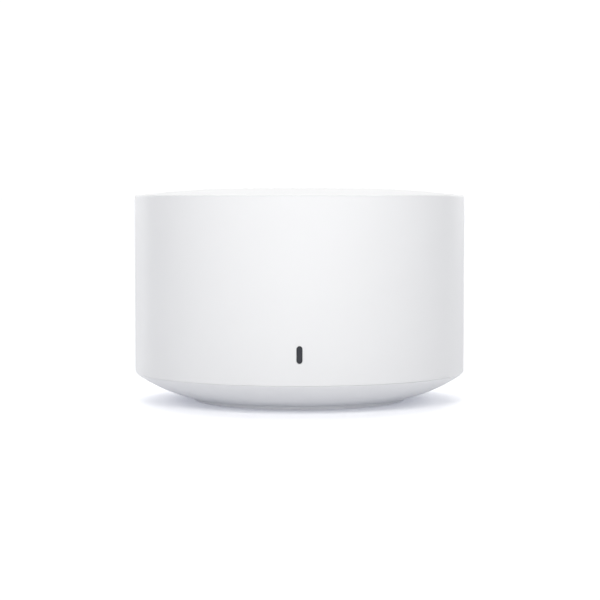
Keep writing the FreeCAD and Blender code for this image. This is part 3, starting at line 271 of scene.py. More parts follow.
def rounded_edge(opening, radius, steps=5):
    """Rings from just outside a rounded edge to its inner end."""
    rings = [[(x, y, 0) for x, y in opening.outline(radius + SUPPORT)]]
    for i in range(steps + 1):
        t = math.radians(90 * i / steps)
        depth = radius * (1 - math.cos(t))
        rings.append([(x, y, depth) for x, y in opening.outline(radius * (1 - math.sin(t)))])
    return rings


def in_scene(name, data):
    """A new object in the scene, for a mesh, a lamp or the camera."""
    made = bpy.data.objects.new(name, data)
    bpy.context.scene.collection.objects.link(made)
    return made


def meshed(name, shape):
    """A new object in the scene, from a shape that is then done with."""
    mesh = bpy.data.meshes.new(name)
    shape.to_mesh(mesh)
    shape.free()
    return in_scene(name, mesh)


def piece(name, shape, body, slot, stands_for=(), smooth=True):
    """Closes a shape into a piece that rides on a CAD body, in its slot's finish."""
    bmesh.ops.remove_doubles(shape, verts=shape.verts, dist=MERGE)
    bmesh.ops.recalc_face_normals(shape, faces=shape.faces)
    made = meshed(name, shape)
    if smooth:
        made.data.shade_smooth()
        made.data.set_sharp_from_angle(angle=CREASE)
    made.data.materials.clear()
    made.data.materials.append(MATERIALS[slot])
    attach(made, body)
    if stands_for:
        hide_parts(*stands_for)
    return made


# ------------------------------------------------------------------ shader groups

def new_group(name, inputs, outputs):
    tree = bpy.data.node_groups.new(name, "ShaderNodeTree")
    for label, kind, start in inputs:
        socket = tree.interface.new_socket(label, in_out="INPUT", socket_type=kind)
        if start is not None:
            socket.default_value = start
    for label, kind in outputs:
        tree.interface.new_socket(label, in_out="OUTPUT", socket_type=kind)
    return tree, tree.nodes.new("NodeGroupInput"), tree.nodes.new("NodeGroupOutput")


def wire(tree, source, target, out=0, into=0):
    tree.links.new(source.outputs[out], target.inputs[into])


def add(tree, kind, **settings):
    item = tree.nodes.new(kind)
    for name, setting in settings.items():
        if hasattr(item, name):
            setattr(item, name, setting)
        else:
            item.inputs[name.replace("_", " ").title()].default_value = setting
    return item


def scaled(tree, vector_node, out, scale_socket_node, scale_out):
    """The coordinates times a group input, so that one group serves every grain size."""
    item = tree.nodes.new("ShaderNodeVectorMath")
    item.operation = "SCALE"
    tree.links.new(vector_node.outputs[out], item.inputs[0])
    tree.links.new(scale_socket_node.outputs[scale_out], item.inputs["Scale"])
    return item


def grain_group():
    """Spark-eroded mould grain: fine pits and bumps, and a broad, faint unevenness of tone."""
    tree, given, made = new_group(
        "mould_grain",
        [("Place", "NodeSocketVector", None), ("Grains per metre", "NodeSocketFloat", 5000.0),
         ("Clouds per metre", "NodeSocketFloat", 40.0)],
        [("Height", "NodeSocketFloat"), ("Tone", "NodeSocketFloat")])
    fine = scaled(tree, given, "Place", given, "Grains per metre")
    pits = add(tree, "ShaderNodeTexVoronoi", feature="SMOOTH_F1", scale=1.0, smoothness=0.6)
    bumps = add(tree, "ShaderNodeTexNoise", scale=0.7, detail=2.0, roughness=0.5)
    wire(tree, fine, pits)
    wire(tree, fine, bumps)
    both = add(tree, "ShaderNodeMath", operation="MULTIPLY_ADD")
    both.inputs[1].default_value = 0.6
    wire(tree, pits, both, "Distance", 0)
    wire(tree, bumps, both, "Fac", 2)
    wire(tree, both, made, 0, "Height")
    broad = scaled(tree, given, "Place", given, "Clouds per metre")
    clouds = add(tree, "ShaderNodeTexNoise", scale=1.0, detail=3.0, roughness=0.55)
    wire(tree, broad, clouds)
    wire(tree, clouds, made, "Fac", "Tone")
    return tree


def brushed_group():
    """Rolled or drawn metal: long fine streaks along one direction."""
    tree, given, made = new_group(
        "drawn_metal",
        [("Place", "NodeSocketVector", None), ("Streaks", "NodeSocketVector", (400.0, 9000.0, 9000.0))],
        [("Height", "NodeSocketFloat"), ("Tone", "NodeSocketFloat")])
    stretch = add(tree, "ShaderNodeVectorMath", operation="MULTIPLY")
    tree.links.new(given.outputs["Place"], stretch.inputs[0])
    tree.links.new(given.outputs["Streaks"], stretch.inputs[1])
    streaks = add(tree, "ShaderNodeTexNoise", scale=1.0, detail=3.0, roughness=0.6)
    wire(tree, stretch, streaks)
    wire(tree, streaks, made, "Fac", "Height")
    stains = add(tree, "ShaderNodeTexNoise", scale=120.0, detail=2.0, roughness=0.5)
    wire(tree, given, stains, "Place", "Vector")
    wire(tree, stains, made, "Fac", "Tone")
    return tree


def tracks_group():
    """Printed board: raised copper tracks in right-angled runs under the solder mask."""
    tree, given, made = new_group(
        "board_tracks",
        [("Place", "NodeSocketVector", None), ("Tracks per metre", "NodeSocketFloat", 420.0)],
        [("Height", "NodeSocketFloat"), ("Copper", "NodeSocketFloat")])
    fine = scaled(tree, given, "Place", given, "Tracks per metre")
    cells = add(tree, "ShaderNodeTexVoronoi", distance="MANHATTAN", scale=0.35)
    wire(tree, fine, cells)
    runs = add(tree, "ShaderNodeMath", operation="PINGPONG")
    runs.inputs[1].default_value = 0.12
    wire(tree, cells, runs, "Distance", 0)
    edge = add(tree, "ShaderNodeMapRange", interpolation_type="SMOOTHSTEP")
    edge.inputs["From Min"].default_value = 0.06
    edge.inputs["From Max"].default_value = 0.08
    wire(tree, runs, edge)
    wire(tree, edge, made, 0, "Height")
    wire(tree, edge, made, 0, "Copper")
    return tree


GRAIN, BRUSHED, TRACKS = grain_group(), brushed_group(), tracks_group()


# ------------------------------------------------------------------ materials

def shaded(name, group, settings, first, second, roughness, height, **shader):
    """A material whose colour, roughness and relief all come from one shader group."""
    material = bpy.data.materials.new(name)
    material.use_nodes = True
    tree = material.node_tree
    surface = next(n for n in tree.nodes if n.type == "BSDF_PRINCIPLED")
    place = tree.nodes.new("ShaderNodeTexCoord")
    effect = tree.nodes.new("ShaderNodeGroup")
    effect.node_tree = group
    tree.links.new(place.outputs["Object"], effect.inputs["Place"])
    for label, setting in settings.items():
        effect.inputs[label].default_value = setting
    tone = effect.outputs[1]
    mix = add(tree, "ShaderNodeMix", data_type="RGBA")
    for socket in mix.inputs:
        if socket.type == "RGBA":
            socket.default_value = (*(first if socket.name == "A" else second), 1)
    tree.links.new(tone, mix.inputs["Factor"])
    colour = next(s for s in mix.outputs if s.type == "RGBA")
    tree.links.new(colour, surface.inputs["Base Color"])
    spread = tree.nodes.new("ShaderNodeMapRange")
    spread.inputs["To Min"].default_value, spread.inputs["To Max"].default_value = roughness
    tree.links.new(effect.outputs["Height"], spread.inputs["Value"])
    tree.links.new(spread.outputs[0], surface.inputs["Roughness"])
    bump = tree.nodes.new("ShaderNodeBump")
    bump.inputs["Distance"].default_value = height
    tree.links.new(effect.outputs["Height"], bump.inputs["Height"])
    tree.links.new(bump.outputs[0], surface.inputs["Normal"])
    for label, setting in shader.items():
        surface.inputs[label.replace("_", " ").title().replace("Ior", "IOR")].default_value = setting
    return material


def moulded(name, first, second, roughness=(0.32, 0.42), grains=5000.0, clouds=40.0,
            height=0.004 * MM, **shader):
    settings = {"Grains per metre": grains, "Clouds per metre": clouds}
    return shaded(name, GRAIN, settings, first, second, roughness, height, **shader)


def metal(name, first, second, roughness=(0.22, 0.38), streaks=(400.0, 9000.0, 9000.0), height=0.003 * MM):
    return shaded(name, BRUSHED, {"Streaks": streaks}, first, second, roughness, height, metallic=1.0)


def grey(level, blue=1.0):
    return (level, level * (1 + (blue - 1) / 5), level * blue)


MATERIALS = {
    "white_plastic": moulded("white_plastic", grey(0.865, 1.004), grey(0.885, 1.004)),
    "base_plastic": moulded("base_plastic", grey(0.85, 1.01), grey(0.87, 1.01)),
    "bay_plastic": moulded("bay_plastic", grey(0.74, 1.01), grey(0.76, 1.01), roughness=(0.4, 0.5)),
    "button_plastic": moulded("button_plastic", grey(0.70, 1.01), grey(0.72, 1.01)),
    "foot_rubber": moulded("foot_rubber", grey(0.82, 1.02), grey(0.86, 1.02), (0.65, 0.8), 3000.0,
                           height=0.012 * MM),
    "label_film": moulded("label_film", grey(0.66), grey(0.69), (0.3, 0.42), 1600.0, height=0.002 * MM),
    "smoked_window": moulded("smoked_window", grey(0.030, 1.3), grey(0.038, 1.3), (0.12, 0.2), 2500.0,
                             height=0.001 * MM, ior=1.46),
    "clear_plastic": moulded("clear_plastic", grey(0.78), grey(0.84), (0.1, 0.2), 1500.0),
    "black_rubber": moulded("black_rubber", grey(0.018), grey(0.026), (0.7, 0.85), 3000.0, height=0.01 * MM),
    "led_package": moulded("led_package", (0.80, 0.68, 0.22), (0.88, 0.76, 0.30), (0.15, 0.25)),
    "circuit_board": shaded("circuit_board", TRACKS, {"Tracks per metre": 420.0}, (0.008, 0.07, 0.03),
                            (0.02, 0.13, 0.055), (0.28, 0.34), 0.02 * MM),
    "sheet_steel": metal("sheet_steel", grey(0.56), grey(0.66)),
    "chip_black": moulded("chip_black", grey(0.02), grey(0.03), (0.45, 0.6), 9000.0),
    "inductor_grey": moulded("inductor_grey", grey(0.09), grey(0.12), (0.55, 0.7), 7000.0),
    "capacitor_alu": metal("capacitor_alu", grey(0.62), grey(0.72), streaks=(6000.0, 6000.0, 300.0)),
    "passive_ceramic": moulded("passive_ceramic", (0.34, 0.22, 0.12), (0.42, 0.28, 0.16), (0.3, 0.45)),
    "thermal_pad": moulded("thermal_pad", (0.24, 0.34, 0.50), (0.28, 0.38, 0.54), (0.6, 0.75), 3500.0,
                           height=0.01 * MM),
    "heat_sink_alu": metal("heat_sink_alu", grey(0.50), grey(0.58), (0.3, 0.45), (9000.0, 500.0, 9000.0)),
    "screw_steel": metal("screw_steel", grey(0.46, 1.03), grey(0.56, 1.03), streaks=(5000.0, 5000.0, 5000.0)),
    "socket_black": moulded("socket_black", grey(0.014), grey(0.02), (0.38, 0.5), 6000.0),
    "contact_gold": metal("contact_gold", (0.78, 0.52, 0.16), (0.86, 0.60, 0.22), (0.16, 0.26)),
    "contact_nickel": metal("contact_nickel", (0.58, 0.56, 0.52), (0.66, 0.64, 0.60), (0.16, 0.26)),
    "plunger_plastic": moulded("plunger_plastic", grey(0.02), grey(0.03)),
    "carrier_plastic": moulded("carrier_plastic", grey(0.04), grey(0.055), (0.45, 0.6)),
    "antenna_brass": metal("antenna_brass", (0.70, 0.50, 0.20), (0.78, 0.58, 0.26)),
    "cable_jacket": moulded("cable_jacket", grey(0.02), grey(0.03), (0.3, 0.4)),
}


CAD_SLOTS = {part["node"]: part["material_slot"] for part in frame["record"]["subparts"]}


def dress_cad_nodes():
    """Every CAD node gets its slot's finish, whether or not a finer piece stands for it."""
    for name, item in frame["nodes"].items():
        for place in item.material_slots:
            place.material = MATERIALS[CAD_SLOTS[name]]


# ------------------------------------------------------------------ housing

def sleeve_angle(x, y):
    return math.atan2(y, x) % (2 * math.pi)


def sleeve_sheet(shape, radius, low, high, openings, growth):
    """The straight wall at one radius, pierced by its openings.

    Each opening comes with its side of the wall: +1 at the back, -1 at the front.
    """
    length = 2 * math.pi * radius
    columns = [length * i / AROUND for i in range(AROUND + 1)]
    levels = [low + (high - low) * i / WALL_ROWS for i in range(WALL_ROWS + 1)]

    def unrolled(x, z, side):
        return radius * sleeve_angle(x, side * math.sqrt(radius**2 - x**2)), z

    def covered(margin):
        def test(along, z):
            turn = along / radius
            x, y = radius * math.cos(turn), radius * math.sin(turn)
            return any(o.holds(x, z, growth[i] + margin)
                       for i, (o, side) in enumerate(openings) if side * y > 0)
        return test

    border = [(a, low) for a in columns] + [(length, z) for z in levels[1:-1]]
    border += [(a, high) for a in reversed(columns)] + [(0, z) for z in reversed(levels[1:-1])]
    loops = [border]
    for i, (opening, side) in enumerate(openings):
        loops.append([unrolled(x, z, side) for x, z in opening.outline(growth[i])])
    blocked = covered(WALL_MARGIN)
    fill = [(a, z) for a in columns[1:-1] for z in levels[1:-1] if not blocked(a, z)]
    pierced(shape, loops, fill, covered(0.0),
            lambda a, z: (radius * math.cos(a / radius), radius * math.sin(a / radius), z))


def outer_sleeve():
    shape = bmesh.new()
    bay = Opening(0, (BAY_LOW + BAY_HIGH) / 2, BAY_HALF, (BAY_HIGH - BAY_LOW) / 2, BAY_CORNER,
                  cuts=BAY_CUTS)
    light = Opening(0, LIGHT_HEIGHT, SLOT_HALF_WIDTH, SLOT_HALF_LENGTH, SLOT_HALF_WIDTH)
    openings = [(bay, 1), (light, -1)]
    edges = [BAY_ROUND, SLOT_ROUND]
    wall_low = SEAM + SEAM_ROUND + SUPPORT
    wall_high = RIM - RIM_ROUND - SUPPORT
    sleeve_sheet(shape, BODY_RADIUS, wall_low, wall_high, openings, [e + SUPPORT for e in edges])
    sleeve_sheet(shape, SLEEVE_INNER, SEAM, LEDGE_ROOT, openings, [0.0, 0.0])
    for (opening, side), edge in zip(openings, edges):
        rings = rounded_edge(opening, edge)
        opening_wall(shape, rings,
                     lambda x, z, depth: (x, side * (math.sqrt(BODY_RADIUS**2 - x**2) - depth), z))
        outer = [(x, side * (math.sqrt(BODY_RADIUS**2 - x**2) - edge), z) for x, z in opening.outline()]
        inner = [(x, side * math.sqrt(SLEEVE_INNER**2 - x**2), z) for x, z in opening.outline()]
        opening_wall(shape, [outer, inner], lambda x, y, z: (x, y, z))
    foot = [(BODY_RADIUS, wall_low)]
    foot += arc(BODY_RADIUS - SEAM_ROUND, SEAM + SEAM_ROUND, SEAM_ROUND, 0, -90, 5)
    foot += [(BODY_RADIUS - SEAM_ROUND - SUPPORT, SEAM), (SLEEVE_INNER, SEAM)]
    turned(shape, foot)
    rim = [(BODY_RADIUS, wall_high)]
    rim += arc(BODY_RADIUS - RIM_ROUND, RIM - RIM_ROUND, RIM_ROUND, 0, 90, 8)
    rim += arc(SEAT_RADIUS + SEAT_ROUND, RIM - SEAT_ROUND, SEAT_ROUND, 90, 180, 6)
    rim += [(SEAT_RADIUS, RIM - SEAT_ROUND - SUPPORT), (SEAT_RADIUS, LEDGE_TOP), (LEDGE_RADIUS, LEDGE_TOP),
            (LEDGE_RADIUS, LEDGE_UNDER), (SLEEVE_INNER, LEDGE_ROOT)]
    turned(shape, rim)
    piece("sleeve_wall", shape, "housing", "white_plastic", ["outer_sleeve"])


def dome(top, radius):
    """The height of the domed surface, flat at its centre."""
    return top - max(radius - COVER_FLAT, 0) ** 2 / (2 * DOME_RADIUS)


def top_cover():
    shape = bmesh.new()
    inner_edge = COVER_RADIUS - COVER_THICK
    slope = COVER_EDGE - COVER_FLAT
    radii = [COVER_FLAT + slope * i / COVER_STEPS for i in range(COVER_STEPS + 1)]
    outline = [(r, dome(TOP, r)) for r in (*COVER_MIDDLE_RINGS, *radii)]
    edge = COVER_ROUND
    outline[-1:] = arc(COVER_RADIUS - edge, dome(TOP, COVER_EDGE) - edge, edge, COVER_ROUND_START, 0, 5)
    outline += [(COVER_RADIUS, dome(TOP, COVER_EDGE) - edge - SUPPORT), (COVER_RADIUS, LEDGE_TOP),
                (inner_edge, LEDGE_TOP)]
    under = TOP - COVER_THICK
    outline += [(r, dome(under, r)) for r in (inner_edge, *COVER_UNDER_RINGS)]
    turned(shape, outline)
    piece("domed_cover", shape, "housing", "white_plastic", ["top_cover"])


def vents():
    middle, half = (VENT_NEAR + VENT_FAR) / 2, (VENT_FAR - VENT_NEAR) / 2
    made = []
    for i in range(VENT_COUNT):
        turn = 2 * math.pi * i / VENT_COUNT
        made.append(Opening(-math.sin(turn) * middle, math.cos(turn) * middle, VENT_HALF_WIDTH, half,
                            VENT_HALF_WIDTH, turn))
    return made


def round_hole(x, y, radius, steps=8):
    return Opening(x, y, radius, radius, radius, steps=steps)


def circle(radius, steps=AROUND):
    return [(radius * math.cos(2 * math.pi * i / steps), radius * math.sin(2 * math.pi * i / steps))
            for i in range(steps)]


def disc_fill(radius, spacing, blocked):
    """Points on rings inside a disc, for its inner triangles."""
    points = [(0.0, 0.0)]
    for ring in range(1, int(radius / spacing)):
        points += circle(ring * spacing, 6 * ring)
    return [p for p in points if not blocked(*p)]


def base_floor(shape, height, radius, openings, growth):
    def covered(margin):
        return lambda x, y: any(o.holds(x, y, growth[i] + margin) for i, o in enumerate(openings))
    loops = [circle(radius)] + [o.outline(growth[i]) for i, o in enumerate(openings)]
    fill = disc_fill(radius, FLOOR_SPACING, covered(FLOOR_MARGIN))
    pierced(shape, loops, fill, covered(0.0), lambda x, y: (x, y, height))


def base_shell():
    """The bowl: a pierced flat floor, the belly and shoulder outside, and the screw bosses inside."""
    shape = bmesh.new()
    corners = [(sx * COLUMN, sy * COLUMN) for sx in (1, -1) for sy in (1, -1)]
    slots = vents()
    bores = [round_hole(x, y, COUNTERBORE_RADIUS) for x, y in corners]
    recess = round_hole(0, 0, LABEL_RECESS_RADIUS, steps=24)
    growth = [VENT_ROUND + SUPPORT] * len(slots) + [0.0] * len(bores) + [VENT_ROUND + SUPPORT]
    base_floor(shape, FLOOR_BASE, FLAT_EDGE, slots + bores + [recess], growth)
    bosses = [round_hole(x, y, BOSS_RADIUS) for x, y in corners]
    base_floor(shape, INNER_FLOOR, INNER_FLOOR_RADIUS, slots + bosses, [0.0] * (len(slots) + len(bosses)))
    for slot in slots:
        rings = rounded_edge(slot, VENT_ROUND)
        rings.append([(x, y, INNER_FLOOR - FLOOR_BASE) for x, y in slot.outline()])
        opening_wall(shape, rings, lambda x, y, depth: (x, y, FLOOR_BASE + depth))
    rings = rounded_edge(recess, VENT_ROUND) + [[(x, y, LABEL_RECESS_DEPTH) for x, y in recess.outline()]]
    opening_wall(shape, rings, lambda x, y, depth: (x, y, FLOOR_BASE + depth))
    fill = disc_fill(LABEL_RECESS_RADIUS, LABEL_RECESS_SPACING, lambda x, y: False)
    pierced(shape, [recess.outline()], fill, lambda x, y: False,
            lambda x, y: (x, y, FLOOR_BASE + LABEL_RECESS_DEPTH))
    for (x, y), bore, boss in zip(corners, bores, bosses):
        hole = round_hole(x, y, SCREW_HOLE_RADIUS)
        stack = [(bore, FLOOR_BASE), (bore, COUNTERBORE_TOP), (hole, COUNTERBORE_TOP), (hole, board_low.z),
                 (boss, board_low.z), (boss, INNER_FLOOR)]
        rings = [[(px, py, z) for px, py in o.outline()] for o, z in stack]
        opening_wall(shape, rings, lambda px, py, z: (px, py, z))
    lip = BODY_RADIUS - BASE_LIP
    bowl = [(FLAT_EDGE, FLOOR_BASE), (BELLY_RADIUS - BELLY_EASE[0], FLOOR_BASE + BELLY_EASE[1])]
    bowl += arc_through((BELLY_RADIUS, FLOOR_BASE), BELLY_VIA, SHOULDER, 22)[1:]
    bowl += arc_through(SHOULDER, SHOULDER_VIA, (lip, SEAM - BASE_LIP), 10)[1:]
    bowl += [(lip - LIP_EASE, SEAM - LIP_EASE), (lip - BASE_LIP, SEAM), (SPIGOT_RADIUS, SEAM)]
    turned(shape, bowl)
    turn, end = (SPIGOT_INNER, INNER_TURN), (INNER_FLOOR_RADIUS, INNER_FLOOR)
    bowl_inside = [(SPIGOT_RADIUS, SEAM), (SPIGOT_INNER, SEAM), turn]
    bowl_inside += arc_through(turn, INNER_VIA, end, 16)[1:]
    turned(shape, bowl_inside)
    piece("bowl_base", shape, "housing", "base_plastic", ["base_shell"])


def base_fittings():
    """What stands up inside the base: the locating rim, open behind the bay, the posts and the stands."""
    shape = bmesh.new()
    gap = math.asin(SPIGOT_GAP_HALF / SPIGOT_RADIUS)
    start, sweep, steps = math.pi / 2 + gap, 2 * math.pi - 2 * gap, 160
    section = [(SPIGOT_RADIUS, SEAM), (SPIGOT_RADIUS, SPIGOT_TOP),
               (SPIGOT_INNER, SPIGOT_TOP), (SPIGOT_INNER, SEAM)]
    rings = []
    for i in range(steps + 1):
        turn = start + sweep * i / steps
        rings.append([shape.verts.new((r * math.cos(turn), r * math.sin(turn), z)) for r, z in section])
    skin(shape, rings, ends=True)
    post = [(0, POST_BASE), (POST_RADIUS, POST_BASE), (POST_RADIUS, board_low.z),
            (POST_HOLE, board_low.z), (POST_HOLE, POST_HOLE_END), (0, POST_HOLE_END)]
    for side in (1, -1):
        turned(shape, post, 32, (side * POST_X, POST_Y))
    stand = [(0, INNER_FLOOR), (STAND_RADIUS, INNER_FLOOR), (STAND_RADIUS, STAND_TOP), (0, STAND_TOP)]
    for i in range(4):
        turn = math.pi / 2 * i
        turned(shape, stand, 24, (STAND_DISTANCE * math.cos(turn), STAND_DISTANCE * math.sin(turn)))
    piece("base_fittings", shape, "housing", "base_plastic")


def foot_ring():
    shape = bmesh.new()
    inner, outer, top = FOOT_INNER, foot_high.x, foot_high.z
    e = FOOT_ROUND
    outline = [(inner, top), (inner, e + SUPPORT)] + arc(inner + e, e, e, 180, 270, 6)
    outline += [(inner + e + SUPPORT, 0), (outer - e - SUPPORT, 0)] + arc(outer - e, e, e, -90, 0, 6)
    outline += [(outer, e + SUPPORT), (outer, top), (inner, top)]
    turned(shape, outline)
    piece("rubber_foot", shape, "housing", "foot_rubber", ["foot_ring"])


def light_window():
    """Smoked window: a slot-shaped lens with a softened front edge, on a flange behind the wall."""
    shape = bmesh.new()
    lens = Opening(0, LIGHT_HEIGHT, SLOT_HALF_WIDTH - LENS_GAP, SLOT_HALF_LENGTH - LENS_GAP,
                   SLOT_HALF_WIDTH - LENS_GAP, steps=12)
    front, back = lens_low.y, lens_high.y
    flange_face = back - LENS_FLANGE_DEPTH
    rings = []
    for i in range(6):
        t = math.radians(90 * i / 5)
        depth = LENS_ROUND * (1 - math.sin(t))
        rings.append([(x, front + depth, z) for x, z in lens.outline(-LENS_ROUND * (1 - math.cos(t)))])
    rings.reverse()
    stack = [(0.0, flange_face), (LENS_FLANGE, flange_face), (LENS_FLANGE, back)]
    rings += [[(x, y, z) for x, z in lens.outline(grow)] for grow, y in stack]
    skin(shape, [[shape.verts.new(point) for point in ring] for ring in rings], ends=True)
    piece("light_window", shape, "housing", "smoked_window", ["led_window"])


# ------------------------------------------------------------------ softened CAD parts

SOFTENED = {                 # how far each part's corners are rounded over
    "wan_socket_shell": 0.08 * MM, "lan_socket_shell": 0.08 * MM,
    "wan_socket_insert": 0.2 * MM, "lan_socket_insert": 0.2 * MM,
    "power_inlet_housing": 0.25 * MM, "power_inlet_pin": 0.3 * MM, "heat_sink": 0.2 * MM,
}
CAD_MERGE = 1e-6             # for the coarser points of a CAD mesh
FLAT_ANGLE = math.radians(1)


def softened(node, width):
    """A finer copy of a CAD node with its true corners rounded over."""
    source = frame["nodes"][node]
    shape = bmesh.new()
    shape.from_mesh(source.data)
    bmesh.ops.remove_doubles(shape, verts=shape.verts, dist=CAD_MERGE)
    bmesh.ops.dissolve_limit(shape, angle_limit=FLAT_ANGLE, verts=shape.verts, edges=shape.edges)
    made = piece(node + "_finished", shape, source["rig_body"], CAD_SLOTS[node], [node])
    edge = made.modifiers.new("softened", "BEVEL")
    edge.width, edge.segments, edge.limit_method, edge.angle_limit = width, 3, "ANGLE", CREASE
    edge.harden_normals = True


# ------------------------------------------------------------------ printed pictograms

PRINT_LIFT = 0.03 * MM
STROKE = 0.17 * MM


def middle(node):
    """The (x, z) centre of a CAD node's box."""
    low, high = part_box(node)
    return (low.x + high.x) / 2, (low.z + high.z) / 2


def ribbon(shape, centre, path, closed=False):
    """A thin printed line on the panel, along (x, z) points in millimetres round a centre."""
    points = [Vector((centre[0] + x * MM, centre[1] + z * MM)) for x, z in path]
    count = len(points)
    sides = []
    for i, point in enumerate(points):
        before = points[i - 1] if closed or i else point
        after = points[(i + 1) % count] if closed or i < count - 1 else point
        along = (after - before).normalized()
        across = Vector((-along.y, along.x)) * STROKE / 2
        sides.append((point + across, point - across))
    rings = []
    for left, right in sides:
        rings.append([shape.verts.new((p.x, PANEL_FACE + lift, p.y))
                      for p, lift in ((left, 0), (left, PRINT_LIFT), (right, PRINT_LIFT), (right, 0))])
    for i in range(count if closed else count - 1):
        join_rings(shape, rings[i], rings[(i + 1) % count])
    if not closed:
        shape.faces.new(rings[0])
        shape.faces.new(rings[-1])


def sign(name, centre, lines=(), rounds=()):
    """A generic sign, printed as a line drawing. Lines are open and rounds are closed."""
    shape = bmesh.new()
    for path in lines:
        ribbon(shape, centre, path)
    for path in rounds:
        ribbon(shape, centre, path, closed=True)
    piece(name, shape, "housing", "carrier_plastic", smooth=False)


def boxed(x, z, half_width=0.4, height=0.7):
    left, right, top = x - half_width, x + half_width, z + height
    return [(left, z), (right, z), (right, top), (left, top)]


def pictograms():
    """A globe, linked boxes, a barrel plug's poles and pairing waves."""
    rim = arc(0, 0, 1.0, 0, 350, 28)
    sign("globe_sign", (middle("wan_socket_shell")[0], SIGN_HEIGHT), [[(-1, 0), (1, 0)]],
         [rim, [(0.45 * x, z) for x, z in rim]])
    sign("network_sign", (middle("lan_socket_shell")[0], SIGN_HEIGHT),
         [[(0, 0.25), (0, 0)], [(-0.95, -0.25), (-0.95, 0), (0.95, 0), (0.95, -0.25)]],
         [boxed(0, 0.25), boxed(-0.95, -0.95), boxed(0.95, -0.95)])
    sign("power_sign", (middle("power_inlet_pin")[0], SIGN_HEIGHT),
         [arc(0, 0, 0.55, -150, 150, 20), [(0.12, 0), (1.5, 0)], [(-0.55, 0), (-1.5, 0)]],
         [arc(0, 0, 0.12, 0, 330, 12)])
    x, z = middle("pair_button")
    sign("pair_sign", (x, z + BUTTON_SIGN_GAP), [arc(0, 0, r, 45, 135, 12) for r in (0.45, 0.95, 1.45)])


# ------------------------------------------------------------------ stage, light and camera

FLOOR_WHITE, FLOOR_SEEN = 0.93, 1.27     # the sweep, and how white the camera's exposure makes it
FLOOR_GLOW, FLOOR_TINT = 0.09, 1.25      # it is lit a little from below, and that light is bluish
FLOOR_RINGS = (40, 8, 2, 0.5, 0)
ROOM, SHEEN_ROOM = 0.30, 0.90            # soft light from all round, and what polished edges reflect
BACKDROP = 1.06                          # how white the surroundings look
SUNS = (
    # name, azimuth from the front, elevation, strength, softness in degrees, blue tint
    ("back_softbox", 180, 65, 1.0, 60, 1.0),
    ("back_low", 180, 40, 0.3, 60, 1.0),
    ("left_edge", -150, 10, 0.2, 30, 1.0),
    ("right_edge", 150, 10, 0.3, 30, 1.0),
    ("left_fill", -90, 25, 0.1, 60, 1.4),
    ("right_fill", 90, 25, 0.15, 60, 1.2),
    ("front_low", 0, 7, 0.55, 22, 1.0),
)
UNMIRRORED = ("front_low",)              # it leaves no bright spot in the smoked window
STRIPS = (("left_strip", -1, 0.01), ("right_strip", 1, 0.004))    # name, side, watts
STRIP_PLACE, STRIP_SIZE = (0.095, 0.035, 0.05), (0.03, 0.14)      # close beside the body
STRIP_TOWARDS = (0.95, 0.6)              # outwards and back, so that it shines inwards and forwards
SOFTBOX = (0, -0.24, 0.165)              # a small softbox close above the lens
SOFTBOX_TARGET = (0, 0, 0.04)
SOFTBOX_SIZE, SOFTBOX_POWER, SOFTBOX_TINT = 0.11, 0.17, 0.99

CAMERA_DISTANCE = 11.51 * BODY_RADIUS
CAMERA_SIDE = 0.16 * MM
CAMERA_TILT = math.radians(3.185)
LENS, SENSOR = 113.2, 36
CLIP_NEAR, CLIP_FAR = 0.01, 100


def stage():
    """A white sweep that is clear from below, so that the underside can be seen."""
    shape = bmesh.new()
    turned(shape, [(radius, 0) for radius in FLOOR_RINGS], 64)
    floor = meshed("studio_floor", shape)
    material = bpy.data.materials.new("white_sweep")
    material.use_nodes = True
    tree = material.node_tree
    tree.nodes.clear()
    matt, glow = tree.nodes.new("ShaderNodeBsdfDiffuse"), tree.nodes.new("ShaderNodeEmission")
    glow.inputs["Color"].default_value = (*grey(1.0, FLOOR_TINT), 1)
    glow.inputs["Strength"].default_value = FLOOR_GLOW
    seen = tree.nodes.new("ShaderNodeLightPath")
    bright = tree.nodes.new("ShaderNodeMapRange")
    bright.inputs["To Min"].default_value, bright.inputs["To Max"].default_value = FLOOR_WHITE, FLOOR_SEEN
    clear = tree.nodes.new("ShaderNodeBsdfTransparent")
    side = tree.nodes.new("ShaderNodeNewGeometry")
    both = tree.nodes.new("ShaderNodeAddShader")
    choose = tree.nodes.new("ShaderNodeMixShader")
    output = tree.nodes.new("ShaderNodeOutputMaterial")
    tree.links.new(seen.outputs["Is Camera Ray"], bright.inputs["Value"])
    tree.links.new(bright.outputs[0], matt.inputs["Color"])
    tree.links.new(matt.outputs[0], both.inputs[0])
    tree.links.new(glow.outputs[0], both.inputs[1])
    tree.links.new(side.outputs["Backfacing"], choose.inputs[0])
    tree.links.new(both.outputs[0], choose.inputs[1])
    tree.links.new(clear.outputs[0], choose.inputs[2])
    tree.links.new(choose.outputs[0], output.inputs["Surface"])
    floor.data.materials.append(material)


def aimed(lamp, towards, place=(0, 0, 0), glossy=True):
    """Puts a lamp in the scene with its back turned towards a direction."""
    item = in_scene(lamp.name, lamp)
    item.location = place
    item.rotation_mode = "QUATERNION"
    item.rotation_quaternion = towards.to_track_quat("Z", "Y")
    item.visible_camera = False
    item.visible_glossy = glossy


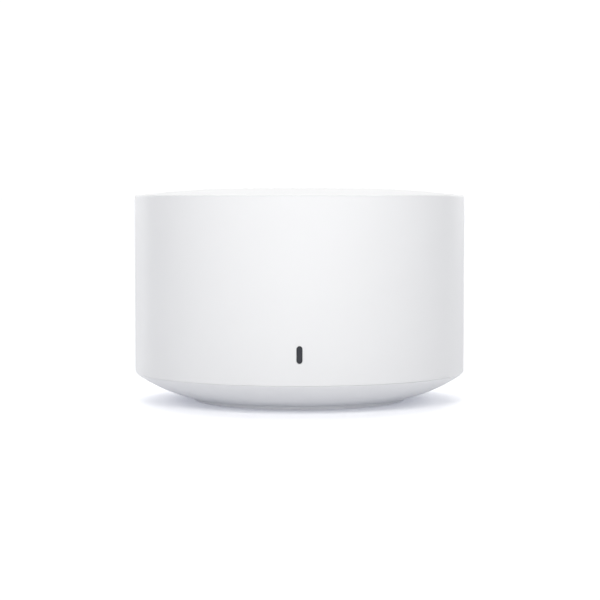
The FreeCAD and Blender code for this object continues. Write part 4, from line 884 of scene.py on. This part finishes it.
def room_light():
    """One strength for soft light, one for what gloss reflects and one for the backdrop."""
    world = bpy.data.worlds.new("studio")
    bpy.context.scene.world = world
    world.use_nodes = True
    tree = world.node_tree
    tree.nodes.clear()
    path = tree.nodes.new("ShaderNodeLightPath")
    room, sheen, seen = (tree.nodes.new("ShaderNodeBackground") for _ in range(3))
    for light, strength in ((room, ROOM), (sheen, SHEEN_ROOM), (seen, BACKDROP)):
        light.inputs["Color"].default_value = (1, 1, 1, 1)
        light.inputs["Strength"].default_value = strength
    glossy, direct = tree.nodes.new("ShaderNodeMixShader"), tree.nodes.new("ShaderNodeMixShader")
    out = tree.nodes.new("ShaderNodeOutputWorld")
    tree.links.new(path.outputs["Is Glossy Ray"], glossy.inputs[0])
    tree.links.new(room.outputs[0], glossy.inputs[1])
    tree.links.new(sheen.outputs[0], glossy.inputs[2])
    tree.links.new(path.outputs["Is Camera Ray"], direct.inputs[0])
    tree.links.new(glossy.outputs[0], direct.inputs[1])
    tree.links.new(seen.outputs[0], direct.inputs[2])
    tree.links.new(direct.outputs[0], out.inputs[0])


def lamps():
    for name, azimuth, elevation, strength, softness, blue in SUNS:
        lamp = bpy.data.lights.new(name, "SUN")
        lamp.energy, lamp.angle, lamp.color = strength, math.radians(softness), grey(1.0, blue)
        a, e = math.radians(azimuth), math.radians(elevation)
        towards = Vector((math.sin(a) * math.cos(e), -math.cos(a) * math.cos(e), math.sin(e)))
        aimed(lamp, towards, glossy=name not in UNMIRRORED)
    lamp = bpy.data.lights.new("front_softbox", "AREA")
    lamp.shape, lamp.size = "DISK", SOFTBOX_SIZE
    lamp.energy, lamp.color = SOFTBOX_POWER, grey(1.0, SOFTBOX_TINT)
    aimed(lamp, Vector(SOFTBOX) - Vector(SOFTBOX_TARGET), SOFTBOX, glossy=False)
    outwards, back = STRIP_TOWARDS
    x, y, z = STRIP_PLACE
    for name, side, power in STRIPS:
        lamp = bpy.data.lights.new(name, "AREA")
        lamp.shape, lamp.energy = "RECTANGLE", power
        lamp.size, lamp.size_y = STRIP_SIZE
        aimed(lamp, Vector((side * outwards, back, 0)), (side * x, y, z))


def camera():
    """Level with the rim, eleven and a half radii away, tipped down at the body."""
    data = bpy.data.cameras.new("camera")
    data.lens, data.sensor_width = LENS, SENSOR
    data.clip_start, data.clip_end = CLIP_NEAR, CLIP_FAR
    item = in_scene("camera", data)
    item.location = (CAMERA_SIDE, -CAMERA_DISTANCE, RIM)
    item.rotation_euler = (math.pi / 2 - CAMERA_TILT, 0, 0)
    bpy.context.scene.camera = item


# ------------------------------------------------------------------ build

dress_cad_nodes()
outer_sleeve()
top_cover()
base_shell()
base_fittings()
foot_ring()
light_window()
for node_name, edge_width in SOFTENED.items():
    softened(node_name, edge_width)
pictograms()
stage()
room_light()
lamps()
camera()
bpy.context.scene.view_settings.view_transform = "Standard"
bpy.context.scene.view_settings.look = "None"
